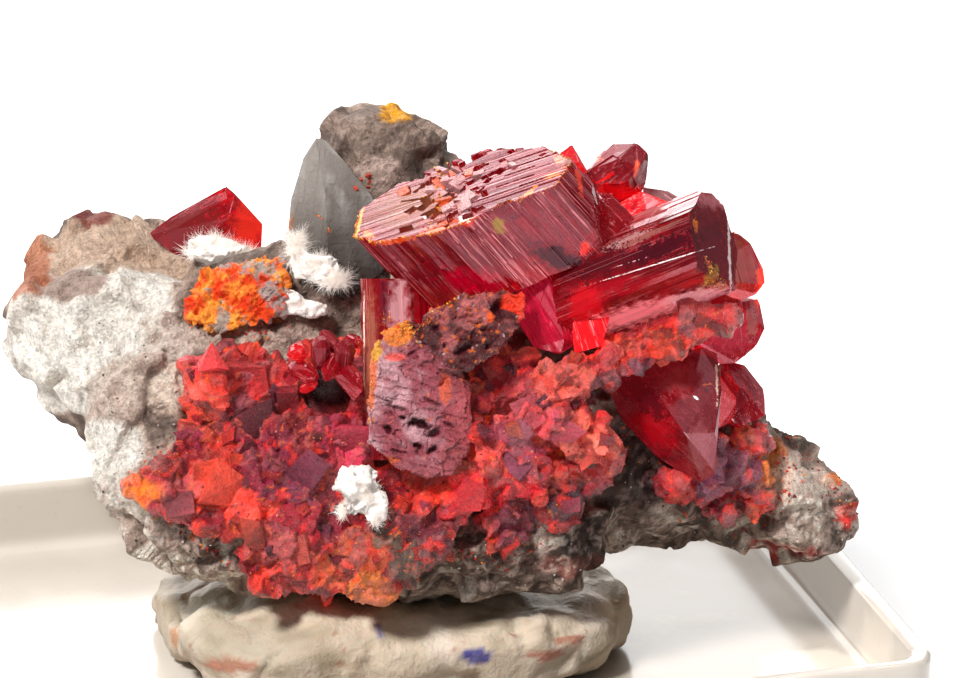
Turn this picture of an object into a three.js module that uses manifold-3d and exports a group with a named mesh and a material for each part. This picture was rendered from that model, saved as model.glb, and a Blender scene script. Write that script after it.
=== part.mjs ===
// Realgar crystals on their matrix, stuck with putty into a shallow white display tray.
//
// Millimetres, +Z up. The origin is the centre of the tray's underside and X runs along the tray.
// The specimen is described in its own face frame: x along the showy face, y up the face and
// z out of it. One nested pair of groups turns and leans that frame into place above the tray.

import * as THREE from 'three';
import { ConvexGeometry } from 'three/addons/geometries/ConvexGeometry.js';
import { mergeVertices } from 'three/addons/utils/BufferGeometryUtils.js';
import Module from 'manifold-3d';

const wasm = await Module();
wasm.setup();

// ---------------------------------------------------------------------------------------------
// Driving dimensions
// ---------------------------------------------------------------------------------------------

const TRAY = { length: 56, width: 40, height: 5, wall: 1, floor: 1, corner: 2 };

const FACE = { x: 7, y: -1.5, z: 19.2, turn: -15.3, lean: 20 };

const GAP = 0.3;               // clearance between pieces that touch
const MATRIX_UNDERSIDE = 6;    // height of the lowest stone, clear of the tray's rim
const MATRIX_CELL = 1.6;       // size of the facets of the rough stone
const PUTTY_CELL = 2;
const WHITE_CELL = 0.85;

// Rounded masses that make up the stone: centre, radii and tilt in the plane of the face.
const MATRIX_LUMPS = [
  { at: [-6, -7, -2], size: [13.5, 6.5, 6] },
  // The left: the boulder in front, the lobes behind it and the ground between them.
  { at: [-18.2, -5.2, 0], size: [3.9, 5.2, 4.5] },
  { at: [-13.4, -9.6, 1], size: [6.2, 4.2, 4.5] },
  { at: [-20.2, -0.3, -8.5], size: [7.4, 4.6, 5.5], tilt: -20 },
  { at: [-20.9, 4.3, -11.5], size: [4.4, 2.6, 4] },
  { at: [-20.4, -3.8, -5], size: [2.9, 2.4, 4] },
  { at: [-12, 0.6, -5], size: [7, 3.8, 6] },
  // The bottom, and the body behind the crystals.
  { at: [-2, -11.6, 1], size: [9.5, 3.2, 5] },
  { at: [-9.5, 1.6, -3.5], size: [4.6, 4.6, 4] },
  { at: [0, 1.5, -4.5], size: [8.5, 6.5, 5] },
  // The knob at the top with its horn and its shoulder.
  { at: [-5.2, 9.5, -5], size: [3.1, 4.3, 3.2] },
  { at: [-7.4, 10.8, -4.4], size: [1.3, 2.4, 1.5], tilt: -12 },
  { at: [-2.2, 8.1, -6], size: [3.2, 2.2, 2.4], tilt: -28 },
  // The right, its arm and the tip of the arm.
  { at: [9, -6, -2.5], size: [7, 5.5, 4.5] },
  { at: [15.6, -8.4, -3.5], size: [4.4, 3.3, 4], tilt: -14 },
  { at: [19.0, -10.6, -4], size: [2.4, 1.7, 2.2], tilt: -30 },
];

// Bumps of the stone: their size and their height.
const MATRIX_BUMPS = [[4.6, 0.75], [2.3, 0.35]];

// Lumps of putty, pressed flat under the stone, in the tray's frame.
const PUTTY_LUMPS = [
  { at: [1, 0, 2.5], size: [12, 9, 3.4] },
  { at: [-6.4, 3, 2.6], size: [5, 7, 2.4] },
  { at: [9.5, -2.5, 3], size: [6.5, 7, 2.8] },
  { at: [-1, -6, 3.5], size: [8.4, 4.4, 2.9] },
  { at: [7, -7, 3.2], size: [6.5, 4, 2.7] },
  { at: [-6.4, -4.2, 3.2], size: [4.8, 4.5, 2.4] },
  { at: [1, 5, 4.2], size: [9, 5, 3.4] },
];

// ---------------------------------------------------------------------------------------------
// Solids
// ---------------------------------------------------------------------------------------------

function toSolid(geometry) {
  const bare = geometry.clone();
  bare.deleteAttribute('normal');
  bare.deleteAttribute('uv');
  const merged = mergeVertices(bare, 1e-4);
  const solid = new wasm.Manifold(new wasm.Mesh({
    numProp: 3,
    vertProperties: new Float32Array(merged.attributes.position.array),
    triVerts: new Uint32Array(merged.index.array),
  }));
  if (solid.status() !== 'NoError' || solid.isEmpty()) {
    throw new Error(`a shape is not a closed solid: ${solid.status()}`);
  }
  return solid;
}

function toGeometry(solid) {
  const mesh = solid.getMesh();
  const geometry = new THREE.BufferGeometry();
  geometry.setAttribute('position', new THREE.BufferAttribute(mesh.vertProperties, 3));
  geometry.setIndex(new THREE.BufferAttribute(mesh.triVerts, 1));
  geometry.computeVertexNormals();
  return geometry;
}

function unite(solids) {
  return solids.reduce((sum, solid) => sum.add(solid));
}

// Cutting a rough crust leaves crumbs: only its largest body is kept.
function largestBody(solid) {
  const bodies = solid.decompose();
  return bodies.reduce((best, body) => (body.volume() > best.volume() ? body : best));
}

function vector([x, y, z]) {
  return new THREE.Vector3(x, y, z);
}

// A crystal or chunk with flat faces: the hull of its corners.
function gem(corners) {
  return toSolid(new ConvexGeometry(corners.map(vector)));
}

// A flat-sided plate: an outline [x, y] at one depth, drawn together towards another depth.
function plate(outline, front, back, taper = 0.9) {
  const middle = outline.reduce((sum, [x, y]) => [sum[0] + x, sum[1] + y], [0, 0])
    .map((value) => value / outline.length);
  const backCorners = outline.map(([x, y]) => [
    middle[0] + (x - middle[0]) * taper,
    middle[1] + (y - middle[1]) * taper,
    back,
  ]);
  return gem([...outline.map(([x, y]) => [x, y, front]), ...backCorners]);
}

// A prism: a closed ring of points, given in its plane's own two axes, swept along a vector.
function sweep(section, centre, axisP, axisQ, travel) {
  const flat = section.map(([p, q]) => new THREE.Vector2(p, q));
  if (THREE.ShapeUtils.isClockWise(flat)) flat.reverse();
  const ring = flat.map(({ x, y }) => centre.clone()
    .addScaledVector(axisP, x)
    .addScaledVector(axisQ, y));
  const count = ring.length;
  const triangles = [];
  for (const [a, b, c] of THREE.ShapeUtils.triangulateShape(flat, [])) {
    triangles.push([a, c, b], [a + count, b + count, c + count]);
  }
  for (let i = 0; i < count; i += 1) {
    const j = (i + 1) % count;
    triangles.push([i, j, j + count], [i, j + count, i + count]);
  }
  const facesIn = axisP.clone().cross(axisQ).dot(travel) < 0;
  const geometry = new THREE.BufferGeometry()
    .setFromPoints([...ring, ...ring.map((point) => point.clone().add(travel))]);
  geometry.setIndex(triangles.flatMap(([a, b, c]) => (facesIn ? [a, c, b] : [a, b, c])));
  return toSolid(geometry);
}

// Coarse growth steps along a prism: each side of its section becomes a low zigzag.
function stepped(section, spacing, depth) {
  return section.flatMap(([p, q], i) => {
    const [nextP, nextQ] = section[(i + 1) % section.length];
    const side = Math.hypot(nextP - p, nextQ - q);
    const steps = Math.max(1, Math.round(side / spacing));
    const normal = [(nextQ - q) / side, (p - nextP) / side];
    return Array.from({ length: steps }, (_, k) => {
      const share = k / steps;
      const push = k === 0 ? 0 : depth * (k % 2 === 0 ? -0.4 : -1);
      return [
        p + (nextP - p) * share + normal[0] * push,
        q + (nextQ - q) * share + normal[1] * push,
      ];
    });
  });
}

// A large block that fills the side of a plane its normal points to.
function beyondPlane(point, normal) {
  const reach = 60;
  const block = new THREE.BoxGeometry(reach, reach, reach);
  const outward = normal.clone().normalize();
  block.applyQuaternion(new THREE.Quaternion()
    .setFromUnitVectors(new THREE.Vector3(0, 0, 1), outward));
  const middle = point.clone().addScaledVector(outward, reach / 2);
  block.translate(middle.x, middle.y, middle.z);
  return toSolid(block);
}

// ---------------------------------------------------------------------------------------------
// Chance: the same on every run
// ---------------------------------------------------------------------------------------------

function scramble(seed) {
  let value = Math.imul(seed ^ (seed >>> 16), 0x45d9f3b);
  value = Math.imul(value ^ (value >>> 16), 0x45d9f3b);
  return (value ^ (value >>> 16)) >>> 0;
}

function randomStream(seed) {
  let count = seed * 7919;
  return () => {
    count += 1;
    return scramble(count) / 2 ** 32;
  };
}

function latticeValue(i, j, k) {
  return scramble(i * 73856093 ^ j * 19349663 ^ k * 83492791) / 2 ** 31 - 1;
}

// Smooth noise between -1 and 1, with lumps about one unit across.
function noise(x, y, z) {
  const [i, j, k] = [Math.floor(x), Math.floor(y), Math.floor(z)];
  const ease = (t) => t * t * (3 - 2 * t);
  const [u, v, w] = [ease(x - i), ease(y - j), ease(z - k)];
  const mix = THREE.MathUtils.lerp;
  const row = (dj, dk) => mix(
    latticeValue(i, j + dj, k + dk),
    latticeValue(i + 1, j + dj, k + dk),
    u,
  );
  return mix(mix(row(0, 0), row(1, 0), v), mix(row(0, 1), row(1, 1), v), w);
}

// ---------------------------------------------------------------------------------------------
// Fields: signed distances, negative inside, and the mesh of their surface
// ---------------------------------------------------------------------------------------------

function ellipsoid({ at, size, tilt = 0 }) {
  const [cx, cy, cz] = at;
  const [rx, ry, rz] = size;
  const cos = Math.cos(THREE.MathUtils.degToRad(tilt));
  const sin = Math.sin(THREE.MathUtils.degToRad(tilt));
  return (x, y, z) => {
    const dx = (x - cx) * cos + (y - cy) * sin;
    const dy = (y - cy) * cos - (x - cx) * sin;
    const dz = z - cz;
    const near = Math.hypot(dx / rx, dy / ry, dz / rz);
    const slope = Math.hypot(dx / rx ** 2, dy / ry ** 2, dz / rz ** 2);
    return slope === 0 ? -Math.min(rx, ry, rz) : near * (near - 1) / slope;
  };
}

// The union of several fields, with fillets about as wide as the blend.
function blended(fields, blend) {
  return (x, y, z) => fields.reduce((sum, field) => {
    const value = field(x, y, z);
    const overlap = Math.max(blend - Math.abs(sum - value), 0) / blend;
    return Math.min(sum, value) - overlap * overlap * blend / 4;
  }, Infinity);
}

// A cell's corners, then its edges: four along x, four along y and four along z.
const CELL_CORNERS = [
  [0, 0, 0], [1, 0, 0], [0, 1, 0], [1, 1, 0], [0, 0, 1], [1, 0, 1], [0, 1, 1], [1, 1, 1],
];
const CELL_EDGES = [
  [0, 1], [2, 3], [4, 5], [6, 7],
  [0, 2], [1, 3], [4, 6], [5, 7],
  [0, 4], [1, 5], [2, 6], [3, 7],
];
const CELL_FACES = [
  [0, 2, 6, 4], [1, 3, 7, 5], [0, 1, 5, 4], [2, 3, 7, 6], [0, 1, 3, 2], [4, 5, 7, 6],
];

// The four cells around a grid edge along each axis, and the edge's number in each of them.
const AROUND_EDGE = [
  { step: [1, 0, 0], cells: [[0, -1, -1, 3], [0, 0, -1, 2], [0, 0, 0, 0], [0, -1, 0, 1]] },
  { step: [0, 1, 0], cells: [[-1, 0, -1, 7], [-1, 0, 0, 5], [0, 0, 0, 4], [0, 0, -1, 6]] },
  { step: [0, 0, 1], cells: [[-1, -1, 0, 11], [0, -1, 0, 10], [0, 0, 0, 8], [-1, 0, 0, 9]] },
];

// The crossed edges of a cell, sorted into the separate sheets of surface that pass through it.
function sheetsThrough(corners) {
  const isInside = (corner) => corners[corner] < 0;
  const crossed = (a, b) => isInside(a) !== isInside(b);
  const edgeBetween = (a, b) => CELL_EDGES.findIndex((edge) => edge.includes(a) && edge.includes(b));
  const sheetOf = CELL_EDGES.map(([a, b], edge) => (crossed(a, b) ? edge : -1));
  const join = (first, second) => {
    const [kept, gone] = [sheetOf[first], sheetOf[second]];
    sheetOf.forEach((sheet, edge) => { if (sheet === gone) sheetOf[edge] = kept; });
  };
  for (const ring of CELL_FACES) {
    const edges = ring.map((corner, n) => edgeBetween(corner, ring[(n + 1) % 4]));
    const hit = edges.filter((edge) => sheetOf[edge] >= 0);
    if (hit.length === 2) join(...hit);
    if (hit.length === 4) {
      ring.forEach((corner, n) => { if (isInside(corner)) join(edges[n], edges[(n + 3) % 4]); });
    }
  }
  return sheetOf;
}

// One vertex for each sheet in each cell that the surface crosses, and one quad around each
// crossed grid edge.
function meshField(field, low, high, cell) {
  const counts = low.map((value, axis) => Math.ceil((high[axis] - value) / cell) + 1);
  const place = (i, j, k) => vector([low[0] + i * cell, low[1] + j * cell, low[2] + k * cell]);
  const index = (i, j, k) => (k * counts[1] + j) * counts[0] + i;
  const grid = [];
  for (let k = 0; k < counts[2]; k += 1) {
    for (let j = 0; j < counts[1]; j += 1) {
      for (let i = 0; i < counts[0]; i += 1) grid.push([i, j, k]);
    }
  }
  const values = grid.map(([i, j, k]) => field(...place(i, j, k).toArray()));
  const isInner = ([i, j, k]) => i < counts[0] - 1 && j < counts[1] - 1 && k < counts[2] - 1;

  const vertices = [];
  const vertexOn = new Map();
  for (const [i, j, k] of grid.filter(isInner)) {
    const corners = CELL_CORNERS.map(([a, b, c]) => values[index(i + a, j + b, k + c)]);
    if (corners.every((value) => value < 0) || corners.every((value) => value >= 0)) continue;
    const sheetOf = sheetsThrough(corners);
    for (const sheet of new Set(sheetOf.filter((number) => number >= 0))) {
      const edges = CELL_EDGES.map((_, edge) => edge).filter((edge) => sheetOf[edge] === sheet);
      const sum = new THREE.Vector3();
      for (const edge of edges) {
        const [a, b] = CELL_EDGES[edge];
        const share = corners[a] / (corners[a] - corners[b]);
        sum.add(vector(CELL_CORNERS[a]).lerp(vector(CELL_CORNERS[b]), share));
        vertexOn.set(index(i, j, k) * CELL_EDGES.length + edge, vertices.length);
      }
      vertices.push(sum.multiplyScalar(cell / edges.length).add(place(i, j, k)));
    }
  }

  const triangles = [];
  for (const [i, j, k] of grid.filter(isInner)) {
    const isSolid = values[index(i, j, k)] < 0;
    for (const { step, cells } of AROUND_EDGE) {
      if (isSolid === values[index(i + step[0], j + step[1], k + step[2])] < 0) continue;
      const quad = cells.map(([a, b, c, edge]) => (
        vertexOn.get(index(i + a, j + b, k + c) * CELL_EDGES.length + edge)));
      if (!isSolid) quad.reverse();
      const [a, b, c, d] = quad;
      const short = vertices[a].distanceTo(vertices[c]) < vertices[b].distanceTo(vertices[d]);
      triangles.push(...(short ? [a, b, c, a, c, d] : [b, c, d, b, d, a]));
    }
  }
  const geometry = new THREE.BufferGeometry().setFromPoints(vertices);
  geometry.setIndex(triangles);
  return geometry;
}

// ---------------------------------------------------------------------------------------------
// The matrix: a rough lump of stone
// ---------------------------------------------------------------------------------------------

const lean = THREE.MathUtils.degToRad(FACE.lean);

// Height above the surface that the tray stands on, of a point in the face frame.
function heightOf(x, y, z) {
  return FACE.z + y * Math.cos(lean) + z * Math.sin(lean);
}

const smoothStone = blended(MATRIX_LUMPS.map(ellipsoid), 2.4);

function stone(x, y, z) {
  const relief = MATRIX_BUMPS.reduce((sum, [size, height]) => (
    sum + height * noise(x / size, y / size, z / size)), 0);
  return Math.max(smoothStone(x, y, z) + relief, MATRIX_UNDERSIDE - heightOf(x, y, z));
}

const STONE_BOX = [[-32, -19, -21], [25, 16, 11]];

// The stone with a layer of some thickness over all of it.
function makeStone(thickness) {
  const field = (x, y, z) => stone(x, y, z) - thickness(x, y, z);
  return largestBody(toSolid(meshField(field, ...STONE_BOX, MATRIX_CELL)));
}

const matrixSolid = makeStone(() => 0);
const matrixWithGap = makeStone(() => GAP + 0.05);

// ---------------------------------------------------------------------------------------------
// Crusts: many small chunks grown together on the stone
// ---------------------------------------------------------------------------------------------

const GOLDEN_ANGLE = Math.PI * (3 - Math.sqrt(5));

// An angular chunk: the hull of some corners spread over an ellipsoid.
function chunk(random, [x, y, z], [rx, ry, rz]) {
  const corners = 9;
  return gem(Array.from({ length: corners }, (_, i) => {
    const height = 1 - 2 * (i + 0.5) / corners;
    const angle = i * GOLDEN_ANGLE + random() * 0.9;
    const ring = Math.sqrt(1 - height * height);
    const reach = 0.85 + 0.3 * random();
    return [
      x + rx * reach * ring * Math.cos(angle),
      y + ry * reach * height,
      z + rz * reach * ring * Math.sin(angle),
    ];
  }));
}

const LEFT_CRUST = {
  thickness: 1.3,
  relief: 0.95,
  lump: 2.7,
  front: 14,
  back: 0,
  outline: [
    [-19.3, -8.2], [-16.6, -6.2], [-15.8, -4.5], [-16.4, -1.4], [-13.9, -0.2], [-10.8, -1.2],
    [-8.3, -0.4], [-6.4, -0.4], [-6.2, -5.8], [-2.2, -7.4], [-0.6, -9.0], [-2.2, -11.4],
    [-5.2, -14.2], [-11.9, -13.6], [-13.0, -12.6], [-12.2, -10.3], [-14.7, -10.8], [-17.8, -9.2],
  ],
};

// Larger facets that stand out of the left crust: centre and radii.
const LEFT_FACETS = [
  [[-14.4, -7.8, 4.6], [1.6, 1.5, 1.0]], [[-16.4, -9.3, 4.2], [1.3, 1.4, 0.9]],
  [[-14.9, -2.6, 4.4], [1.2, 1.6, 0.9]], [[-8.2, -5.6, 5.2], [1.8, 1.6, 1.0]],
];

// The centre's crumbly mass: centre and radius of each lump.
const CENTRE_LUMPS = [
  [6.7, -1.4, 5.8, 1.3], [5.3, -2.0, 6.2, 1.5], [3.6, -2.8, 6.6, 1.7], [4.4, -4.5, 6.8, 1.8],
  [2.2, -5.1, 6.6, 1.8], [6.1, -5.6, 6.2, 1.6], [6.9, -6.4, 5.6, 1.0], [1.1, -6.7, 6.4, 1.6],
  [-0.6, -5.6, 6.2, 1.6], [0.0, -7.8, 6.0, 1.6], [2.8, -7.3, 6.0, 1.7], [4.7, -7.3, 5.6, 1.4],
  [6.2, -7.7, 5.0, 0.9], [1.6, -2.4, 4.0, 2.6], [-0.4, -4.2, 4.4, 2.2], [-1.4, -8.4, 5.8, 1.4],
  [1.1, -10.0, 5.0, 1.6], [2.2, -11.6, 4.4, 1.3],
  [4.2, -9.0, 4.6, 1.4], [-3.0, -9.6, 5.4, 1.4], [1.6, -8.8, 4.4, 1.8], [4.5, -5.5, 4.4, 2.4],
];

// A ragged bar of crust below the right-hand prism.
const CRUST_BAR = [
  [6.9, 0.4, 5.2], [8.2, 1.2, 5.8], [9.9, 1.7, 6.3], [13.9, 1.9, 6.9], [14.1, 1.2, 7.0],
  [11.7, -0.3, 6.9], [8.9, -1.8, 6.4], [7.0, -2.2, 5.6], [7.5, -1.6, 3.8], [12.5, 0.3, 4.6],
];

const RIGHT_BASE_LUMPS = [
  [12.6, -6.3, 1.6, 1.6], [14.4, -7.4, 1.0, 1.7], [12.3, -8.2, 1.4, 1.3], [14.9, -5.6, 0.4, 1.3],
  [15.2, -9.0, 0.4, 1.2], [10.9, -8.0, 2.0, 1.1], [13.6, -9.2, 1.0, 1.0],
];

function lumps(list, seed) {
  const random = randomStream(seed);
  return list.map(([x, y, z, radius]) => chunk(random, [x, y, z], [radius, radius, radius]));
}

// A lumpy layer over the front of the stone, inside an outline on the face.
function crustLayer({ thickness, relief, lump, front, back, outline }, extra = 0) {
  const covered = makeStone((x, y, z) => (
    thickness + extra + relief * noise(x / lump, y / lump, z / lump)));
  const [right, up, out] = [[1, 0, 0], [0, 1, 0], [0, 0, front - back]].map(vector);
  const window = sweep(outline, vector([0, 0, back]), right, up, out);
  return covered.intersect(window).subtract(matrixWithGap);
}

function leftFacets() {
  const random = randomStream(17);
  return LEFT_FACETS.map(([centre, radii]) => chunk(random, centre, radii));
}

// ---------------------------------------------------------------------------------------------
// Realgar crystals
// ---------------------------------------------------------------------------------------------

// The largest crystal: a short thick prism seen on its etched end face. The end face has its own
// long axis and short axis, and the prism runs from it down to the right and back.
const MAIN = {
  centre: new THREE.Vector3(-1.0, 7.9, 6.0),
  long: new THREE.Vector3(0.945, 0.326, 0).normalize(),
  short: new THREE.Vector3(-0.163, 0.4725, -0.865).normalize(),
  travel: new THREE.Vector3(0.60, -0.64, -0.48).multiplyScalar(5.6),
  rightFace: new THREE.Vector3(6.45, 8.5, 4.5),
  rightNormal: new THREE.Vector3(1, 0.16, 0.25),
  section: [
    [-6.4, -0.6], [-5.4, -2.0], [-1.9, -3.3], [2.1, -2.7], [5.0, -2.6], [6.4, -0.4],
    [5.3, 2.2], [2.2, 4.1], [-0.3, 4.2], [-3.0, 3.7], [-5.7, 2.2],
  ],
};

// Pits etched into the end face: place along its two axes, length, width and depth.
const MAIN_PITS = [
  [-1.9, 1.2, 1.5, 1.0, 0.7], [-0.5, -0.6, 1.2, 0.9, 0.8], [-2.3, -0.9, 1.0, 0.8, 0.6],
  [0.6, 1.9, 1.3, 0.8, 0.7], [1.1, 0.2, 0.9, 1.3, 0.6], [-0.8, 2.7, 1.4, 0.7, 0.6],
  [0.3, -2.0, 1.6, 0.6, 0.6], [-3.2, 1.9, 0.8, 1.1, 0.5], [2.2, 2.4, 0.9, 0.9, 0.5],
];

function mainCrystal() {
  const { centre, long, short, travel, section } = MAIN;
  const body = sweep(stepped(section, 1.3, 0.16), centre, long, short, travel);
  const basis = new THREE.Matrix4().makeBasis(long, short, long.clone().cross(short));
  const pits = MAIN_PITS.map(([along, across, length, width, depth]) => {
    const pit = new THREE.BoxGeometry(length, width, depth * 2);
    pit.rotateZ(along * 0.35).applyMatrix4(basis);
    const place = centre.clone().addScaledVector(long, along).addScaledVector(short, across);
    return toSolid(pit.translate(place.x, place.y, place.z));
  });
  return body.subtract(unite(pits)).subtract(beyondPlane(MAIN.rightFace, MAIN.rightNormal));
}

// The long prism on the right, lying up to the right with its free end towards the front.
const RIGHT = {
  end: new THREE.Vector3(12.4, 5.35, 7.0),
  axis: new THREE.Vector3(0.85, 0.344, 0.4).normalize(),
  up: new THREE.Vector3(-0.311, 0.939, -0.147).normalize(),
  length: 8.8,
  section: [
    [3.3, -2.2], [1.5, 1.6], [-1.6, 2.9], [-2.6, 0.5], [-2.9, -1.5], [-0.5, -3.8], [2.2, -4.0],
  ],
};

function rightCrystal() {
  const { end, axis, up, length, section } = RIGHT;
  const side = axis.clone().cross(up).normalize();
  const travel = axis.clone().multiplyScalar(-length);
  const body = sweep(stepped(section, 1.2, 0.14), end, up, side, travel);
  const corner = end.clone().addScaledVector(up, 2.9);
  return body.subtract(beyondPlane(corner, axis.clone().multiplyScalar(0.55).add(up)));
}

// The upright prism on the left, seen on its long faces, with a slanting broken top.
const LEFT = {
  top: 3.3,
  bottom: -6.6,
  axis: new THREE.Vector3(-0.05, 1, -0.06),
  brokenTop: new THREE.Vector3(0.1, 1, 0.4),
  section: [
    [-6.2, 4.6], [-5.9, 5.9], [-4.8, 6.8], [-3.3, 6.3], [-1.9, 4.6], [-2.4, 2.6], [-5.6, 2.4],
  ],
};

function leftCrystal() {
  const right = new THREE.Vector3(1, 0, 0);
  const out = new THREE.Vector3(0, 0, 1);
  const base = new THREE.Vector3(0, LEFT.bottom, 0);
  const travel = LEFT.axis.clone().multiplyScalar(LEFT.top - LEFT.bottom);
  const body = sweep(stepped(LEFT.section, 0.9, 0.12), base, right, out, travel);
  return body.subtract(beyondPlane(new THREE.Vector3(-4, LEFT.top - 0.2, 6), LEFT.brokenTop));
}

// The etched block in front of the upright prism, with pits in its face.
const ETCHED = {
  front: 7.7,
  back: 3.2,
  outline: [
    [-5.9, -0.6], [-5.0, 0.6], [-3.4, 0.9], [-1.6, -1.2], [-0.5, -2.6], [-0.4, -4.4],
    [-0.6, -6.1], [-1.5, -7.4], [-2.8, -7.6], [-4.6, -6.9], [-6.1, -5.6],
  ],
};

// Pits in its face: place and radius.
const ETCHED_PITS = [
  [-3.4, -1.0, 0.5], [-5.0, -2.9, 0.4], [-4.6, -5.3, 0.45], [-2.6, -4.8, 0.5], [-2.9, -6.2, 0.35],
];

function etchedBlock() {
  const body = plate(ETCHED.outline, ETCHED.front, ETCHED.back, 0.96);
  const random = randomStream(5);
  const pits = ETCHED_PITS.map(([x, y, radius]) => (
    chunk(random, [x, y, ETCHED.front + 0.1], [radius * 1.4, radius, radius])));
  return body.subtract(unite(pits));
}

// A dark bar that lies across the top of the etched block, rising to an orange-red tip.
const DARK_BAR = [
  [-3.8, 0.2, 8.0], [-2.8, 1.5, 7.8], [-1.2, 2.4, 7.5], [1.1, 2.7, 7.0], [2.4, 2.6, 6.6],
  [2.5, 1.8, 6.9], [2.1, 0.6, 7.6], [0.6, -1.0, 8.2], [-1.1, -1.9, 8.4], [-2.5, -1.5, 8.2],
  [-3.4, 0.4, 4.4], [1.8, 1.8, 4.2], [-0.8, -1.4, 4.6],
];

// The striated prism in the middle, leaning to the left, between the bar and the red chunk.
const MIDDLE_CRYSTAL = [
  [2.2, 3.6, 4.6], [3.5, 3.9, 4.2], [5.7, 4.3, 3.4], [6.2, 2.2, 3.8], [5.4, -0.2, 5.4],
  [4.4, -0.8, 5.8], [2.9, -0.5, 5.0], [1.7, 1.6, 4.4], [3.6, 3.7, 5.0], [4.6, 0.0, 6.2],
  [2.6, 2.6, 1.0], [5.6, 2.6, 0.8], [4.0, -0.8, 2.0],
];

const RED_CHUNK = [
  [5.0, 0.8, 6.4], [5.7, 2.7, 6.0], [6.7, 2.6, 5.8], [7.1, 1.2, 6.2], [6.8, -0.3, 6.6],
  [5.1, -0.8, 6.6], [5.2, 1.6, 3.6], [6.8, 1.6, 3.6], [6.0, -0.6, 4.0],
];

// The rough crystal behind, top right, with its small pointed neighbour.
const BACK_CRYSTAL = [
  [5.4, 8.9, -1.0], [6.6, 10.4, -1.0], [7.3, 11.0, -1.2], [8.7, 11.0, -1.2], [9.4, 10.3, -1.0],
  [9.3, 8.8, -0.8], [8.9, 7.9, -0.6], [6.6, 8.1, -0.4], [6.1, 9.5, 0.2], [7.7, 10.1, 0.6],
  [8.8, 9.5, 0.4], [8.2, 8.6, 0.7], [6.8, 8.6, 0.6], [6.8, 10.0, -3.4], [8.8, 9.8, -3.4],
  [7.6, 5.4, -3.0],
];

const BACK_POINT = [
  [4.3, 10.3, -0.6], [5.1, 10.9, -0.8], [5.5, 9.9, -0.4], [4.6, 9.2, 0.0], [5.8, 8.0, -1.2],
  [4.6, 8.0, -1.8], [6.6, 8.4, -1.6],
];

const BACK_RED_CRYSTAL = [
  [7.3, 7.4, 0.4], [8.9, 8.3, -0.2], [10.4, 7.4, 0.0], [11.8, 7.1, -0.4], [9.7, 6.0, 1.0],
  [7.8, 6.0, 1.0], [9.0, 8.1, -2.2], [11.2, 6.9, -2.0], [7.6, 5.0, -2.4],
];

const BACK_GREY_CRYSTAL = [
  [9.1, 8.5, -1.6], [10.3, 8.4, -1.6], [11.5, 7.7, -1.4], [11.9, 7.0, -1.2], [10.0, 6.6, -1.0],
  [9.2, 8.2, -3.6], [11.2, 7.4, -3.6], [9.0, 5.4, -3.4],
];

// A short striated crystal between the main crystal and the right-hand prism.
const BETWEEN_CRYSTAL = [
  [6.5, 8.1, 2.6], [7.3, 8.1, 2.8], [8.8, 6.3, 3.8], [8.2, 5.0, 4.4], [6.4, 4.2, 4.4],
  [6.0, 5.6, 3.4], [7.0, 6.8, 4.2], [6.6, 7.4, -1.0], [8.4, 6.0, -0.6], [6.0, 3.6, 0.0],
];

// The two crystals behind the free end of the right-hand prism.
const RIGHT_BACK_UPPER = [
  [14.2, 6.0, 1.6], [15.0, 5.3, 1.8], [15.7, 3.9, 1.8], [15.8, 3.0, 2.0], [15.4, 2.5, 2.2],
  [14.3, 2.1, 2.4], [12.6, 5.4, 2.2], [11.2, 3.4, 5.4], [13.6, 5.2, -1.2], [15.2, 3.2, -1.2],
  [11.4, 2.4, -1.4],
];

const RIGHT_BACK_LOWER = [
  [14.2, 2.3, 1.6], [15.5, 2.2, 1.2], [15.8, 0.6, 1.4], [15.4, -0.3, 1.6], [14.2, -1.3, 2.4],
  [13.0, -1.4, 2.5], [12.0, -1.1, 2.8], [10.4, 0.8, 4.2], [11.4, 1.7, 3.8], [14.2, 2.0, 2.8],
  [13.6, 2.6, -0.8], [15.2, 0.4, -1.2], [11.2, 0.2, -1.0],
];

// The wedge at the lower right: a big crystal whose faces meet in a ridge.
const WEDGE = [
  [6.9, -2.6, 2.4], [8.7, -1.5, 4.2], [12.2, -0.4, 3.4], [13.1, -0.7, 2.8], [13.3, -2.3, 4.0],
  [13.0, -5.1, 5.0], [11.1, -5.1, 6.0], [12.9, -7.4, 4.0], [12.1, -7.9, 3.4], [10.0, -6.9, 2.4],
  [7.8, -4.6, 1.8], [8.6, -2.2, -1.2], [12.6, -1.8, -1.0], [11.6, -6.8, -0.4],
];

const RED_SLIVER = [
  [13.2, -2.0, 2.6], [14.2, -3.3, 2.6], [13.9, -4.6, 2.4], [13.0, -5.0, 2.6], [13.0, -2.6, 3.2],
  [13.4, -2.6, -0.6], [13.6, -4.4, -0.6],
];

const SMALL_MAUVE_CRYSTAL = [
  [13.4, -1.1, 1.8], [14.7, -1.4, 1.6], [15.8, -2.8, 1.6], [15.8, -4.2, 1.8], [14.3, -4.9, 2.2],
  [13.6, -4.2, 2.6], [14.4, -2.6, 2.6], [13.2, -1.6, -0.8], [15.2, -2.8, -0.8], [14.4, -5.0, -0.8],
  [13.0, -4.6, -0.6],
];

// The crystal that stands alone at the back left.
const LONE_CRYSTAL = [
  [-19.0, 6.0, -8.2], [-18.0, 6.9, -8.8], [-14.6, 8.8, -9.4], [-14.0, 8.3, -9.0],
  [-12.4, 6.6, -8.4], [-12.4, 4.9, -7.8], [-14.0, 4.6, -7.4], [-17.4, 4.9, -7.4],
  [-14.2, 6.9, -7.2], [-17.6, 5.2, -11.6], [-14.4, 7.6, -12.0], [-12.6, 4.9, -11.4],
  [-15.2, 2.4, -9.0],
];

// ---------------------------------------------------------------------------------------------
// Smaller growths
// ---------------------------------------------------------------------------------------------

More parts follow.
